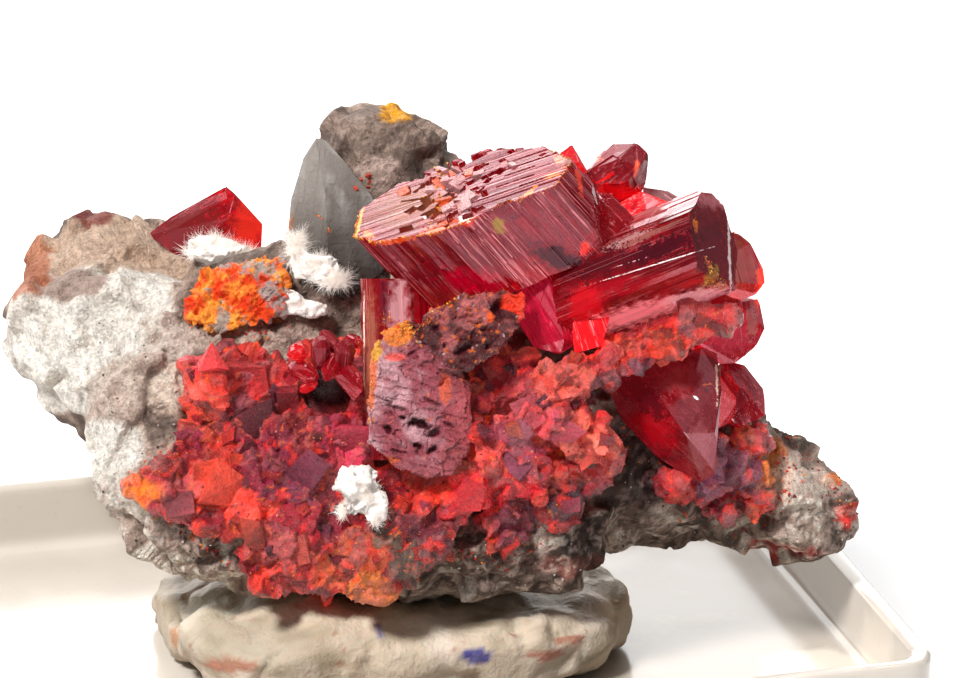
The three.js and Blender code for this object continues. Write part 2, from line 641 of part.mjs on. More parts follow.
// A translucent grey blade that stands behind the left of the main crystal.
const GREY_BLADE = [
  [-9.0, 11.2, -1.4], [-8.5, 11.3, -1.5], [-9.9, 10.1, -1.3], [-7.7, 10.1, -1.4],
  [-10.6, 7.7, -1.0], [-10.8, 5.2, -0.6], [-10.5, 3.9, -0.4], [-7.5, 2.2, 0.6], [-5.3, 3.8, 0.2],
  [-5.2, 5.4, -0.2], [-6.0, 8.0, -0.8], [-8.6, 8.0, 0.4], [-8.4, 4.4, 1.2], [-8.8, 10.9, -2.2],
  [-10.3, 4.4, -2.4], [-5.6, 4.6, -2.4], [-8.0, 1.6, -2.6],
];

const ORANGE_CRUST = {
  thickness: 1.0,
  relief: 0.5,
  lump: 1.6,
  front: 6,
  back: -6,
  outline: [
    [-16.2, 1.2], [-14.6, 0.4], [-11.0, 1.4], [-10.6, 3.0], [-11.0, 4.4], [-13.4, 4.0],
    [-15.6, 3.4],
  ],
};

// Small bright crystals around the little hollow in the crust: centre and radius.
const HOLLOW_CRYSTALS = [
  [-9.9, -0.6, 5.2, 0.75], [-9.2, -1.4, 5.6, 0.7], [-8.6, -0.7, 5.4, 0.8], [-8.0, -1.6, 5.8, 0.75],
  [-7.4, -0.6, 5.6, 0.9], [-7.0, -1.7, 5.8, 0.8], [-9.7, -2.1, 5.4, 0.6], [-8.2, -0.2, 4.8, 0.8],
  [-7.6, -2.5, 5.4, 0.6],
];

// White growths: lumps given like those of the stone.
const WHITE_FLUFF = [
  { at: [-15.0, 4.9, -6.2], size: [2.3, 1.35, 1.8], tilt: -12 },
  { at: [-13.4, 4.2, -5.8], size: [1.6, 1.0, 1.4], tilt: -30 },
];

const WHITE_TUFT = [
  { at: [-10.3, 4.9, 0.6], size: [0.9, 2.0, 0.9], tilt: 28 },
  { at: [-9.0, 3.9, 1.4], size: [1.5, 1.1, 1.0] },
  { at: [-7.9, 3.1, 1.6], size: [1.2, 0.7, 0.8], tilt: -20 },
];

const WHITE_CAP = [
  { at: [-11.1, 2.1, 0.9], size: [1.0, 1.0, 0.9] },
  { at: [-9.6, 1.6, 1.2], size: [1.7, 0.7, 0.8] },
];

const WHITE_PATCH = [
  { at: [-6.1, -8.0, 6.9], size: [1.35, 1.2, 0.7], tilt: 15 },
  { at: [-5.7, -9.3, 6.7], size: [0.8, 1.2, 0.6], tilt: 8 },
  { at: [-7.5, -9.0, 6.5], size: [0.6, 1.4, 0.55], tilt: -10 },
  { at: [-7.0, -7.8, 6.7], size: [0.9, 0.6, 0.5] },
];

function whiteGrowth(masses) {
  const field = blended(masses.map(ellipsoid), 0.9);
  const bounds = new THREE.Box3();
  for (const { at, size } of masses) {
    const reach = Math.max(...size);
    bounds.expandByPoint(vector(at).subScalar(reach)).expandByPoint(vector(at).addScalar(reach));
  }
  bounds.expandByScalar(WHITE_CELL * 2);
  return toSolid(meshField(field, bounds.min.toArray(), bounds.max.toArray(), WHITE_CELL));
}

// ---------------------------------------------------------------------------------------------
// Tray and putty
// ---------------------------------------------------------------------------------------------

function roundedBlock(length, width, corner, bottom, top) {
  const [x, y] = [length / 2, width / 2];
  const shape = new THREE.Shape();
  shape.moveTo(-x + corner, -y);
  shape.lineTo(x - corner, -y);
  shape.absarc(x - corner, -y + corner, corner, -Math.PI / 2, 0);
  shape.lineTo(x, y - corner);
  shape.absarc(x - corner, y - corner, corner, 0, Math.PI / 2);
  shape.lineTo(-x + corner, y);
  shape.absarc(-x + corner, y - corner, corner, Math.PI / 2, Math.PI);
  shape.lineTo(-x, -y + corner);
  shape.absarc(-x + corner, -y + corner, corner, Math.PI, Math.PI * 1.5);
  const geometry = new THREE.ExtrudeGeometry(shape, {
    depth: top - bottom,
    curveSegments: 4,
    bevelEnabled: false,
  });
  return toSolid(geometry.translate(0, 0, bottom));
}

function makeTray() {
  const { length, width, height, wall, floor, corner } = TRAY;
  const outside = roundedBlock(length, width, corner, 0, height);
  const [innerLength, innerWidth] = [length - 2 * wall, width - 2 * wall];
  const inside = roundedBlock(innerLength, innerWidth, corner - wall * 0.6, floor, height + 1);
  return outside.subtract(inside);
}

const toFaceFrame = new THREE.Matrix4()
  .makeTranslation(FACE.x, FACE.y, FACE.z)
  .multiply(new THREE.Matrix4().makeRotationZ(THREE.MathUtils.degToRad(FACE.turn)))
  .multiply(new THREE.Matrix4().makeRotationX(Math.PI / 2 - lean))
  .invert();

// Putty fills the room between its flat foot on the tray's floor and the stone above it.
function makePutty() {
  const mass = blended(PUTTY_LUMPS.map(ellipsoid), 0.8);
  const point = new THREE.Vector3();
  const field = (x, y, z) => {
    point.set(x, y, z).applyMatrix4(toFaceFrame);
    const folds = 0.45 * noise(x / 3, y / 3, z / 1.6);
    const foot = TRAY.floor + GAP - z;
    const clearOfStone = GAP + 0.35 - stone(point.x, point.y, point.z);
    return Math.max(mass(x, y, z) + folds, foot, clearOfStone);
  };
  return largestBody(toSolid(meshField(field, [-18, -14, 0], [20, 15, 12], PUTTY_CELL)));
}

// ---------------------------------------------------------------------------------------------
// Assembly
// ---------------------------------------------------------------------------------------------

function colour(hex, roughness) {
  return new THREE.MeshStandardMaterial({ color: hex, roughness, metalness: 0 });
}

const FINISH = {
  stone: colour(0x8f8d88, 0.85),
  crust: colour(0xa8201a, 0.5),
  crystal: colour(0x8c1420, 0.12),
  orange: colour(0xe0561a, 0.7),
  blade: colour(0x77787a, 0.25),
  white: colour(0xf2f0ec, 0.8),
  putty: colour(0xe6e0d2, 0.55),
  tray: colour(0xf4f1ec, 0.3),
};

function named(name, solid, material) {
  const mesh = new THREE.Mesh(toGeometry(solid), material);
  mesh.name = name;
  return mesh;
}

// The same solids a little larger, for the clearance that a neighbour keeps to them.
function enlarged(solids) {
  return unite(solids.map((solid) => {
    const { min, max } = solid.boundingBox();
    const middle = [0, 1, 2].map((axis) => (min[axis] + max[axis]) / 2);
    const scale = [0, 1, 2].map((axis) => 1 + 2 * GAP / (max[axis] - min[axis]));
    return solid.translate(middle.map((value) => -value)).scale(scale).translate(middle);
  }));
}

const specimen = new THREE.Group();
specimen.rotation.x = Math.PI / 2 - lean;
specimen.add(named('matrix', matrixSolid, FINISH.stone));

// A grown piece stops just short of the stone and of every piece that was there before it.
const thereBefore = [matrixWithGap];

function grow(name, material, solids, withGap = enlarged(solids)) {
  const whole = unite(solids);
  const rest = thereBefore.reduce((left, earlier) => left.subtract(earlier), whole);
  specimen.add(named(name, largestBody(rest), material));
  thereBefore.push(whole.add(withGap));
}

grow('realgar_crystals_lower', FINISH.crystal, [WEDGE, RED_SLIVER, SMALL_MAUVE_CRYSTAL].map(gem));
grow('realgar_crystals', FINISH.crystal, [
  mainCrystal(),
  rightCrystal(),
  leftCrystal(),
  etchedBlock(),
  ...[
    DARK_BAR, MIDDLE_CRYSTAL, RED_CHUNK, BACK_CRYSTAL, BACK_POINT, BACK_RED_CRYSTAL,
    BACK_GREY_CRYSTAL, BETWEEN_CRYSTAL, RIGHT_BACK_UPPER, RIGHT_BACK_LOWER,
  ].map(gem),
]);
grow('realgar_crystal_back', FINISH.crystal, [gem(LONE_CRYSTAL)]);
grow('grey_blade_crystal', FINISH.blade, [gem(GREY_BLADE)]);

const crustLumps = [...leftFacets(), ...lumps(CENTRE_LUMPS, 3), gem(CRUST_BAR)];
grow('realgar_crust', FINISH.crust, [crustLayer(LEFT_CRUST), ...crustLumps],
  crustLayer(LEFT_CRUST, GAP).add(enlarged(crustLumps)));
grow('realgar_crust_right', FINISH.crust, lumps(RIGHT_BASE_LUMPS, 7));
grow('orange_crust', FINISH.orange, [crustLayer(ORANGE_CRUST)], crustLayer(ORANGE_CRUST, GAP));
grow('hollow_crystals', FINISH.crystal, lumps(HOLLOW_CRYSTALS, 13));
grow('white_fluff', FINISH.white, [whiteGrowth(WHITE_FLUFF)]);
grow('white_tuft', FINISH.white, [whiteGrowth(WHITE_TUFT)]);
grow('white_cap', FINISH.white, [whiteGrowth(WHITE_CAP)]);
grow('white_patch', FINISH.white, [whiteGrowth(WHITE_PATCH)]);

const turned = new THREE.Group();
turned.position.set(FACE.x, FACE.y, FACE.z);
turned.rotation.z = THREE.MathUtils.degToRad(FACE.turn);
turned.add(specimen);

const group = new THREE.Group();
group.add(named('tray', makeTray(), FINISH.tray));
group.add(named('putty', makePutty(), FINISH.putty));
group.add(turned);

export default group;
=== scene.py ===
"""Realgar crystals on their matrix, fixed with putty in a white display tray.

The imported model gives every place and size. This script gives each piece its fine surface: growth
lines and etched pits on the crystals, facets and crumbs on the crusts, grain on the stone, fibres
on the white growths. Lengths here are in millimetres, and MM turns them into Blender's metres.
Most places are given in the specimen's face frame: x along the face, y up it and z out of it.
"""

import math

import bmesh
import bpy
import numpy as np
from mathutils import Matrix, Vector
from mathutils.bvhtree import BVHTree


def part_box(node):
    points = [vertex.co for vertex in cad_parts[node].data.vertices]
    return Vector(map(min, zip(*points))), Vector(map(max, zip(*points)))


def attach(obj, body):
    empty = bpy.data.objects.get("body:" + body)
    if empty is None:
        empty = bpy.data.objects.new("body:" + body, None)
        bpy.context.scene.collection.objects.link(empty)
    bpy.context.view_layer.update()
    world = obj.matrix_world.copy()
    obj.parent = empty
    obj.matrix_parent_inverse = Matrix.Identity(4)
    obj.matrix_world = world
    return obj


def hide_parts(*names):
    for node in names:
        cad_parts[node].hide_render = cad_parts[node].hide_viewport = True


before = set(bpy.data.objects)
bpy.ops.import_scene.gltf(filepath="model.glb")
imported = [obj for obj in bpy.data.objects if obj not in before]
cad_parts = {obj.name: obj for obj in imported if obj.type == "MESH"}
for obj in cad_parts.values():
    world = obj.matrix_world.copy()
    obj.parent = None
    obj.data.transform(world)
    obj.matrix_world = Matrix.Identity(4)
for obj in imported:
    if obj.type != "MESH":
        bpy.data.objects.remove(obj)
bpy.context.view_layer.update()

MM = 0.001

# ---- The face frame ----

FACE_PLACE = np.array([7.0, -1.5, 19.2])
FACE_TURN = math.radians(-15.3)
FACE_LEAN = math.radians(20.0)

face_matrix = Matrix.Rotation(FACE_TURN, 3, "Z") @ Matrix.Rotation(math.pi / 2 - FACE_LEAN, 3, "X")
FACE_AXES = np.array(face_matrix)


def to_tray(points):
    """Points of the face frame, in the tray's frame."""
    return np.asarray(points, dtype=float) @ FACE_AXES.T + FACE_PLACE


def to_face(points):
    """Points of the tray's frame, in the face frame."""
    return (np.asarray(points, dtype=float) - FACE_PLACE) @ FACE_AXES


# ---- Camera, floor and light ----

CAMERA_DISTANCE = 330.0
CAMERA_LENS = 222.75
SENSOR_WIDTH = 36.0
NEAREST_SEEN = 10.0


def make_camera():
    data = bpy.data.cameras.new("camera")
    data.lens = CAMERA_LENS
    data.sensor_width = SENSOR_WIDTH
    data.clip_start = NEAREST_SEEN * MM
    camera = bpy.data.objects.new("camera", data)
    out = Vector(FACE_AXES[:, 2])
    camera.location = (Vector(FACE_PLACE) + out * CAMERA_DISTANCE) * MM
    camera.rotation_euler = out.to_track_quat("Z", "Y").to_euler()
    bpy.context.collection.objects.link(camera)
    bpy.context.scene.camera = camera


# Panels of light around the object: azimuth in degrees, how far they reach to each side, the
# lowest and highest direction they fill (as the sine of its height) and their brightness.
DIM_ROOM = 0.10
PANELS = [
    (92, 0.56, -0.35, 0.70, 3.9),
    (-72, 0.50, 0.84, 1.2, 0.7),
    (-12, 0.30, 0.22, 0.60, 0.75),
    (-140, 0.25, 0.60, 0.86, 0.95),
]
PANEL_EDGE = 0.05
PANEL_SIDE = (-0.05, 2.0)    # a panel fills only directions on its own side
FLOOR_WIDTH = 200.0
FLOOR_FRONT = 90.0
FLOOR_BACK = 900.0
FLOOR_DROP = 0.02
FLOOR_GLOW = 0.6
FLOOR_COLOUR = (0.8, 0.8, 0.805)
GLOW_START = 12.0
GLOW_FULL = 30.0


def within(nodes, value, low, high):
    """One between two bounds and zero beyond them, with a short slope at each."""
    rise = nodes.ramp(value, low - PANEL_EDGE, low)
    return nodes.times(rise, nodes.ramp(value, high + PANEL_EDGE, high))


def panel_light(nodes, direction, azimuth, reach, low, high, brightness):
    towards = (math.cos(math.radians(azimuth)), math.sin(math.radians(azimuth)), 0.0)
    beside = (-towards[1], towards[0], 0.0)
    inside = nodes.times(
        within(nodes, nodes.along(direction, beside), -reach, reach),
        within(nodes, nodes.along(direction, towards), *PANEL_SIDE))
    lit = nodes.times(inside, within(nodes, nodes.along(direction, (0, 0, 1)), low, high))
    return nodes.times(lit, brightness)


def make_light():
    world = bpy.data.worlds.new("studio")
    nodes = Nodes(world)
    direction = nodes.add("TexCoord").outputs["Generated"]
    strength = DIM_ROOM
    for panel in PANELS:
        strength = nodes.plus(panel_light(nodes, direction, *panel), strength)
    strength = nodes.math("MAXIMUM", strength, nodes.add("LightPath").outputs["Is Camera Ray"])
    background = nodes.add("Background", {"Color": rgba("ffffff"), "Strength": strength})
    nodes.add("OutputWorld", {"Surface": background.outputs["Background"]})
    bpy.context.scene.world = world

    soft_box("key", (-150, -120, 240), 50, 1.32, mirrored=False)
    soft_box("glint", (90, 10, 240), 6, 0.06)
    bpy.context.scene.view_settings.view_transform = "Standard"


def make_floor():
    """A plain pale floor that glows behind and beside the tray, so that it shows white there."""
    away = -unit(FACE_AXES[:, 2] * np.array([1, 1, 0]))
    right = np.cross(away, (0, 0, 1))
    corners = [
        away * reach + right * side * FLOOR_WIDTH / 2 - [0, 0, FLOOR_DROP]
        for reach, side in ((-FLOOR_FRONT, -1), (-FLOOR_FRONT, 1), (FLOOR_BACK, 1), (FLOOR_BACK, -1))
    ]
    mesh = mesh_of(corners, [(0, 1, 2, 3)])
    floor = bpy.data.objects.new("floor", mesh)
    bpy.context.collection.objects.link(floor)
    nodes = new_material("floor")
    behind = nodes.along(nodes.place, away)
    beside = nodes.math("ABSOLUTE", nodes.along(nodes.place, right), 0.0)
    outside = nodes.math("MAXIMUM", behind, nodes.math("SUBTRACT", beside, GLOW_START * MM))
    nodes.set(
        Base_Color=rgba(FLOOR_COLOUR), Roughness=0.9, Emission_Color=rgba("ffffff"),
        Emission_Strength=nodes.ramp(outside, GLOW_START * MM, GLOW_FULL * MM, 0, FLOOR_GLOW))
    mesh.materials.append(nodes.owner)


def soft_box(name, place, size, power, mirrored=True):
    """A square lamp that faces the specimen, and may be left out of mirror images."""
    light = bpy.data.lights.new(name, "AREA")
    light.size = size * MM
    light.energy = power
    lamp = bpy.data.objects.new(name, light)
    lamp.location = Vector(place) * MM
    aim = Vector(FACE_PLACE) - Vector(place)
    lamp.rotation_euler = aim.to_track_quat("-Z", "Y").to_euler()
    lamp.visible_glossy = mirrored
    lamp.visible_transmission = mirrored
    bpy.context.collection.objects.link(lamp)


# ---- Chance: the same on every run ----

LOW_BITS = np.int64(0xFFFFFFFF)
SCRAMBLER = 0x45D9F3B
GRID_PRIMES = (73856093, 19349663, 83492791)
SALT_PRIME = 97531


def scramble(values):
    values = values & LOW_BITS
    for _ in range(2):
        values = ((values ^ (values >> 16)) * SCRAMBLER) & LOW_BITS
    return values ^ (values >> 16)


def chance(cells, salt):
    """One number between 0 and 1 for each cell [i, j, k] of a grid."""
    i, j, k = (cells[..., axis].astype(np.int64) * prime for axis, prime in enumerate(GRID_PRIMES))
    return scramble(i ^ j ^ k ^ salt * SALT_PRIME) / 2.0**32


def noise(points, size, salt=0):
    """Smooth noise between -1 and 1, with lumps of about the given size."""
    scaled = points / size
    cell = np.floor(scaled)
    share = scaled - cell
    share = share * share * (3 - 2 * share)
    total = np.zeros(len(points))
    for corner in np.ndindex(2, 2, 2):
        weight = np.prod(np.where(corner, share, 1 - share), axis=1)
        total += weight * chance(cell + np.array(corner), salt)
    return total * 2 - 1


def layered(points, size, layers=3, salt=0):
    total = sum(noise(points, size / 2**n, salt + n) / 2**n for n in range(layers))
    return total / (2 - 0.5 ** (layers - 1))


class Grains:
    """The irregular grains that fill space, each point's own grain and its distance to a border."""

    def __init__(self, points, size, salt=0, warp=0.0):
        if warp:
            shift = np.stack([noise(points, size * 0.7, salt + 91 + n) for n in range(3)], axis=1)
            points = points + shift * warp
        cell = np.floor(points / size)
        nearest = np.full(len(points), np.inf)
        second = np.full(len(points), np.inf)
        self.centre = np.zeros_like(points)
        self.cell = np.zeros_like(points)
        for offset in np.ndindex(3, 3, 3):
            other = cell + np.array(offset) - 1
            jitter = np.stack([chance(other, salt + n) for n in range(3)], axis=1)
            centre = (other + jitter) * size
            distance = np.linalg.norm(points - centre, axis=1)
            closer = distance < nearest
            second = np.where(closer, nearest, np.minimum(second, distance))
            nearest = np.where(closer, distance, nearest)
            self.centre[closer] = centre[closer]
            self.cell[closer] = other[closer]
        self.border = (second - nearest) / size
        self.salt = salt

    def number(self, which):
        """One number between 0 and 1 for each point's grain."""
        return chance(self.cell, self.salt + 50 + which)

    def facets(self, points, slope, step):
        """Heights of a surface broken into tilted flat facets, one to a grain."""
        tilt = np.stack([self.number(n) for n in range(3)], axis=1) - 0.5
        tilt /= np.linalg.norm(tilt, axis=1, keepdims=True) + 1e-9
        across = np.sum((points - self.centre) * tilt, axis=1)
        return slope * across + step * (self.number(3) - 0.5)


def smooth_step(values, low, high):
    share = np.clip((values - low) / (high - low), 0, 1)
    return share * share * (3 - 2 * share)


def oval_distance(points, x, y, reach_x, reach_y):
    """How far points are from the middle of an upright oval, whose rim is at 1."""
    return np.hypot((points[:, 0] - x) / reach_x, (points[:, 1] - y) / reach_y)


# ---- Meshes ----


def unique(items):
    """The items without repeats, in an order that is the same on every run."""
    return list(dict.fromkeys(items))


def piece(mesh, name, material, slot, *nodes, tint=None, smooth=False):
    """A finished piece that stands for some CAD nodes. Gives back its mesh."""
    made = bpy.data.objects.new(name, mesh)
    bpy.context.collection.objects.link(made)
    mesh.name = name
    mesh.materials.clear()
    mesh.materials.append(MATERIALS[material])
    mesh.polygons.foreach_set("use_smooth", np.full(len(mesh.polygons), smooth))
    mesh.update()
    if tint is not None:
        layer = mesh.attributes.new("tint", "FLOAT_COLOR", "POINT")
        alpha = np.ones((len(tint), 1))
        layer.data.foreach_set("color", np.hstack([tint, alpha]).astype(np.float32).ravel())
    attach(made, "root")
    if nodes:
        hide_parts(*nodes)
    return mesh


def mesh_of(points, faces):
    """A mesh from points in the tray's frame, in millimetres."""
    mesh = bpy.data.meshes.new("mesh")
    mesh.from_pydata((np.asarray(points) * MM).tolist(), [], [list(face) for face in faces])
    mesh.update()
    return mesh


def vectors_of(mesh, key):
    flat = np.empty(len(mesh.vertices) * 3, dtype=np.float32)
    mesh.vertices.foreach_get(key, flat)
    return flat.reshape(-1, 3).astype(float)


def points_of(mesh):
    return vectors_of(mesh, "co") / MM


def face_points(mesh):
    return to_face(points_of(mesh))


def set_points(mesh, points):
    mesh.vertices.foreach_set("co", (points * MM).astype(np.float32).ravel())
    mesh.update()


def modified(mesh, *steps):
    """The mesh after some modifiers, each given as its kind and its settings."""
    carrier = bpy.data.objects.new("carrier", mesh)
    bpy.context.collection.objects.link(carrier)
    for number, (kind, settings) in enumerate(steps):
        modifier = carrier.modifiers.new(str(number), kind)
        for name, value in settings.items():
            setattr(modifier, name, value)
    graph = bpy.context.evaluated_depsgraph_get()
    result = bpy.data.meshes.new_from_object(carrier.evaluated_get(graph))
    bpy.data.objects.remove(carrier)
    return result


def refined(name, voxel, relax):
    """A CAD node's surface as an even fine mesh, with its facets worn off."""
    return modified(
        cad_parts[name].data.copy(),
        ("REMESH", {"mode": "VOXEL", "voxel_size": voxel * MM}),
        ("SMOOTH", {"factor": 0.5, "iterations": relax}),
    )


def raised(mesh, height, name=None):
    """Moves a mesh's points along its normals, and keeps them in the box of a CAD node."""
    points = points_of(mesh) + vectors_of(mesh, "normal") * height[:, None]
    if name:
        low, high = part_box(name)
        points = np.clip(points, np.array(low) / MM, np.array(high) / MM)
    set_points(mesh, points)


def softened(mesh, times):
    """Averages each point with its neighbours."""
    ends = np.empty(len(mesh.edges) * 2, dtype=np.int32)
    mesh.edges.foreach_get("vertices", ends)
    first, second = ends[0::2], ends[1::2]
    points = points_of(mesh)
    count = np.bincount(ends, minlength=len(points))[:, None]
    for _ in range(times):
        total = np.zeros_like(points)
        np.add.at(total, first, points[second])
        np.add.at(total, second, points[first])
        points = (points + total / count) / 2
    set_points(mesh, points)


def painted(base, points, spots):
    """Colours laid over a base one after another, each in a ragged spot.

    A spot is its centre (x, y, z), its reach along each of them, its colour and how well it covers.
    """
    colours = np.zeros((len(points), 3)) + linear(base)
    for number, (*place, colour, cover) in enumerate(spots):
        centre, reach = np.array(place[:3]), np.array(place[3:])
        distance = np.linalg.norm((points - centre) / reach, axis=1)
        ragged = distance + 0.3 * layered(points, max(reach[0], 0.6) * 0.6, 3, 300 + number)
        weight = cover * (1 - smooth_step(ragged, 0.82, 1.02))
        colours = colours + (linear(colour) - colours) * weight[:, None]
    return colours


def mixed(first, second, share):
    share = share[:, None] if np.ndim(share) else share
    return linear(first) * (1 - share) + linear(second) * share


# ---- Materials ----

SPOT_DEPTH = 200.0    # spots run through the whole depth of a crystal
SPOT_OUT = 6.0
SPOT_EDGE = 0.12
GLOW_EDGE = 0.4


def linear(colour):
    """A colour written as rrggbb, as the linear numbers that shaders use. Numbers stay as they are."""
    if not isinstance(colour, str):
        return np.array(colour)
    parts = [int(colour[n:n + 2], 16) / 255 for n in (0, 2, 4)]
    return np.array([part / 12.92 if part < 0.04045 else ((part + 0.055) / 1.055) ** 2.4 for part in parts])


def rgba(colour):
    return (*[float(part) for part in linear(colour)], 1.0)


class Nodes:
    """The shader nodes of a material or the world. Most methods add one and give back its output."""

    def __init__(self, owner):
        owner.use_nodes = True
        self.owner = owner
        self.tree = owner.node_tree
        self.tree.nodes.clear()

    def add(self, kind, inputs=None, **settings):
        """Adds a node. An input is another node's output or a plain value."""
        made = self.tree.nodes.new("ShaderNode" + kind)
        for name, value in settings.items():
            setattr(made, name, value)
        for name, value in (inputs or {}).items():
            self.feed(made.inputs[name], value)
        return made

    def feed(self, socket, value):
        if isinstance(value, bpy.types.NodeSocket):
            self.tree.links.new(value, socket)
        else:
            socket.default_value = value

    def set(self, **values):
        """Feeds the inputs of a material's shader."""
        for name, value in values.items():
            self.feed(self.shader.inputs[name.replace("_", " ")], value)

    def math(self, kind, first, second):
        return self.add("Math", {0: first, 1: second}, operation=kind).outputs["Value"]

    def plus(self, first, second):
        return self.math("ADD", first, second)

    def times(self, first, second):
        return self.math("MULTIPLY", first, second)

    def less(self, value, cover, share):
        """A value, lowered by a share of itself where something covers it."""
        return self.times(value, self.math("SUBTRACT", 1.0, self.times(cover, share)))

    def ramp(self, value, low, high, start=0.0, end=1.0):
        """A value brought from one range to another, and kept inside it."""
        return self.add("MapRange", {
            "Value": value, "From Min": low, "From Max": high, "To Min": start, "To Max": end,
        }).outputs["Result"]

    def along(self, place, aim):
        return self.add("VectorMath", {0: place, 1: Vector(aim)}, operation="DOT_PRODUCT").outputs["Value"]

    def attribute(self, name, kind):
        return self.add("Attribute", attribute_name=name).outputs[kind]

    def noise(self, place, scale, detail, roughness):
        return self.add("TexNoise", {
            "Vector": place, "Scale": scale, "Detail": detail, "Roughness": roughness}).outputs["Fac"]

    def speckle(self, size, detail=4.0, roughness=0.6, low=0.35, high=0.65):
        """Noise of a given size, spread over the whole range from 0 to 1."""
        return self.ramp(self.noise(self.place, 1 / (size * MM), detail, roughness), low, high)

    def blend(self, factor, first, second, kind="MIX"):
        made = self.add("Mix", data_type="RGBA", blend_type=kind)
        for number, value in ((0, factor), (6, first), (7, second)):
            self.feed(made.inputs[number], value)
        return made.outputs[2]

    def bump(self, height, distance, strength=1.0):
        bump = self.add("Bump", {"Height": height, "Distance": distance * MM, "Strength": strength})
        self.set(Normal=bump.outputs["Normal"])

    def absorb(self, colour, density):
        volume = self.add("VolumeAbsorption", {"Color": rgba(colour), "Density": density})
        self.feed(self.output.inputs["Volume"], volume.outputs["Volume"])

    def spot_cover(self, wobble, x, y, reach_x, reach_y, turn, edge=SPOT_EDGE):
        """How far a ragged spot covers each point. Its centre, reach and turn are given on the face."""
        stance = face_matrix @ Matrix.Rotation(math.radians(turn), 3, "Z")
        own_place = self.add("Mapping", {
            "Vector": self.place,
            "Location": Vector(to_tray((x, y, SPOT_OUT))) * MM,
            "Rotation": stance.to_euler(),
            "Scale": Vector((reach_x, reach_y, SPOT_DEPTH)) * MM,
        }, vector_type="TEXTURE")
        distance = self.add("VectorMath", {0: own_place.outputs["Vector"]}, operation="LENGTH")
        return self.ramp(self.plus(distance.outputs["Value"], wobble), 1 + edge, 1 - edge)


def new_material(name):
    """The nodes of a new material: its shader, its output and the place on the object."""
    nodes = Nodes(bpy.data.materials.new(name))
    nodes.output = nodes.add("OutputMaterial")
    nodes.shader = nodes.add("BsdfPrincipled")
    nodes.feed(nodes.output.inputs["Surface"], nodes.shader.outputs["BSDF"])
    nodes.place = nodes.add("TexCoord").outputs["Object"]
    return nodes


REALGAR_RED = "d01024"
BRIGHT_RED = "f01410"
DEEP_RED = (0.955, 0.02, 0.04)
CLEAR_RED = (0.985, 0.03, 0.03)
GLOW_RED = (1.0, 0.03, 0.06)


def crystal_material(
        name, colour=REALGAR_RED, spots=(), ior=1.95, roughness=0.06, clear=0.92, painted_line_share=0.6,
        painted_inner_glow=0.06, absorbed=DEEP_RED, density=3400.0):
    """Deep red glass with fine growth lines, a film of dust and some spots of its own.

    A spot is its centre and its reach on the face, its turn, its colour, how opaque it is, and how
    bright its painted glow is, a glow for light that has come through the crystal. The growth lines are
    painted bright and dark, as highlights on the ribs and shade in the grooves.
    """
    nodes = new_material(name)
    grain = nodes.attribute("grain", "Vector")
    lines = nodes.noise(grain, 1.0, 2.0, 0.6)
    bands = nodes.noise(grain, 0.22, 2.0, 0.5)
    dust = nodes.speckle(0.5, 6.0, 0.7, 0.5, 0.8)
    film = nodes.speckle(2.2, 3.0, 0.6, 0.4, 0.7)
    coarse = nodes.speckle(0.5, 3.0, 0.6, 0.3, 0.7)
    fine = nodes.speckle(0.12, 3.0, 0.6, 0.3, 0.7)
    # Pale lines on the ribs are painted highlights and dark lines in the grooves are painted shade; the
    # line share sets how much of each.
    bright = nodes.times(nodes.times(nodes.ramp(lines, 0.53, 0.60), nodes.ramp(bands, 0.46, 0.56)), painted_line_share)
    shaded = nodes.times(nodes.ramp(lines, 0.46, 0.38), painted_line_share)
    # Pits: dark painted shade deeper in them, mixed by fine noise with orange dust.
    hollow = nodes.attribute("hollow", "Fac")
    base = nodes.blend(nodes.times(dust, 0.3), rgba(colour), rgba("9a3a48"))
    base = nodes.blend(bright, base, rgba("e89ea0"))
    base = nodes.blend(shaded, base, rgba("4c0814"))
    base = nodes.blend(hollow, base, nodes.blend(fine, rgba("240404"), rgba("d0401a")))
    see_through = nodes.ramp(dust, 0, 1, clear, clear - 0.25)
    for cover, share in ((bright, 0.85), (shaded, 0.5), (hollow, 0.85)):
        see_through = nodes.less(see_through, cover, share)
    # An even red emission: a painted glow for light scattered inside the crystal.
    light = rgba(np.array(GLOW_RED) * painted_inner_glow)
    ragged = nodes.math("SUBTRACT", nodes.plus(coarse, fine), 1.0)
    for x, y, reach_x, reach_y, turn, spot_colour, opaque, *glow in spots:
        if glow:
            soft = nodes.math("SUBTRACT", coarse, 0.5)
            cover = nodes.spot_cover(soft, x, y, reach_x, reach_y, turn, GLOW_EDGE)
            light = nodes.blend(cover, light, rgba(linear(spot_colour) * glow[0]))
        else:
            cover = nodes.spot_cover(ragged, x, y, reach_x, reach_y, turn)
        base = nodes.blend(cover, base, rgba(spot_colour))
        see_through = nodes.less(see_through, cover, opaque)
    if isinstance(light, bpy.types.NodeSocket):
        light = nodes.blend(nodes.times(shaded, 0.8), light, rgba((0, 0, 0)))
    nodes.set(
        Base_Color=base, Transmission_Weight=see_through, IOR=ior, Specular_Tint=rgba((1.0, 0.46, 0.54)),
        Roughness=nodes.ramp(film, 0, 1, roughness, roughness + 0.12), Emission_Color=light,
        Emission_Strength=1.0)
    nodes.bump(nodes.plus(lines, nodes.times(dust, 0.3)), 0.006, 0.6)
    nodes.absorb(absorbed, density)
    return nodes.owner


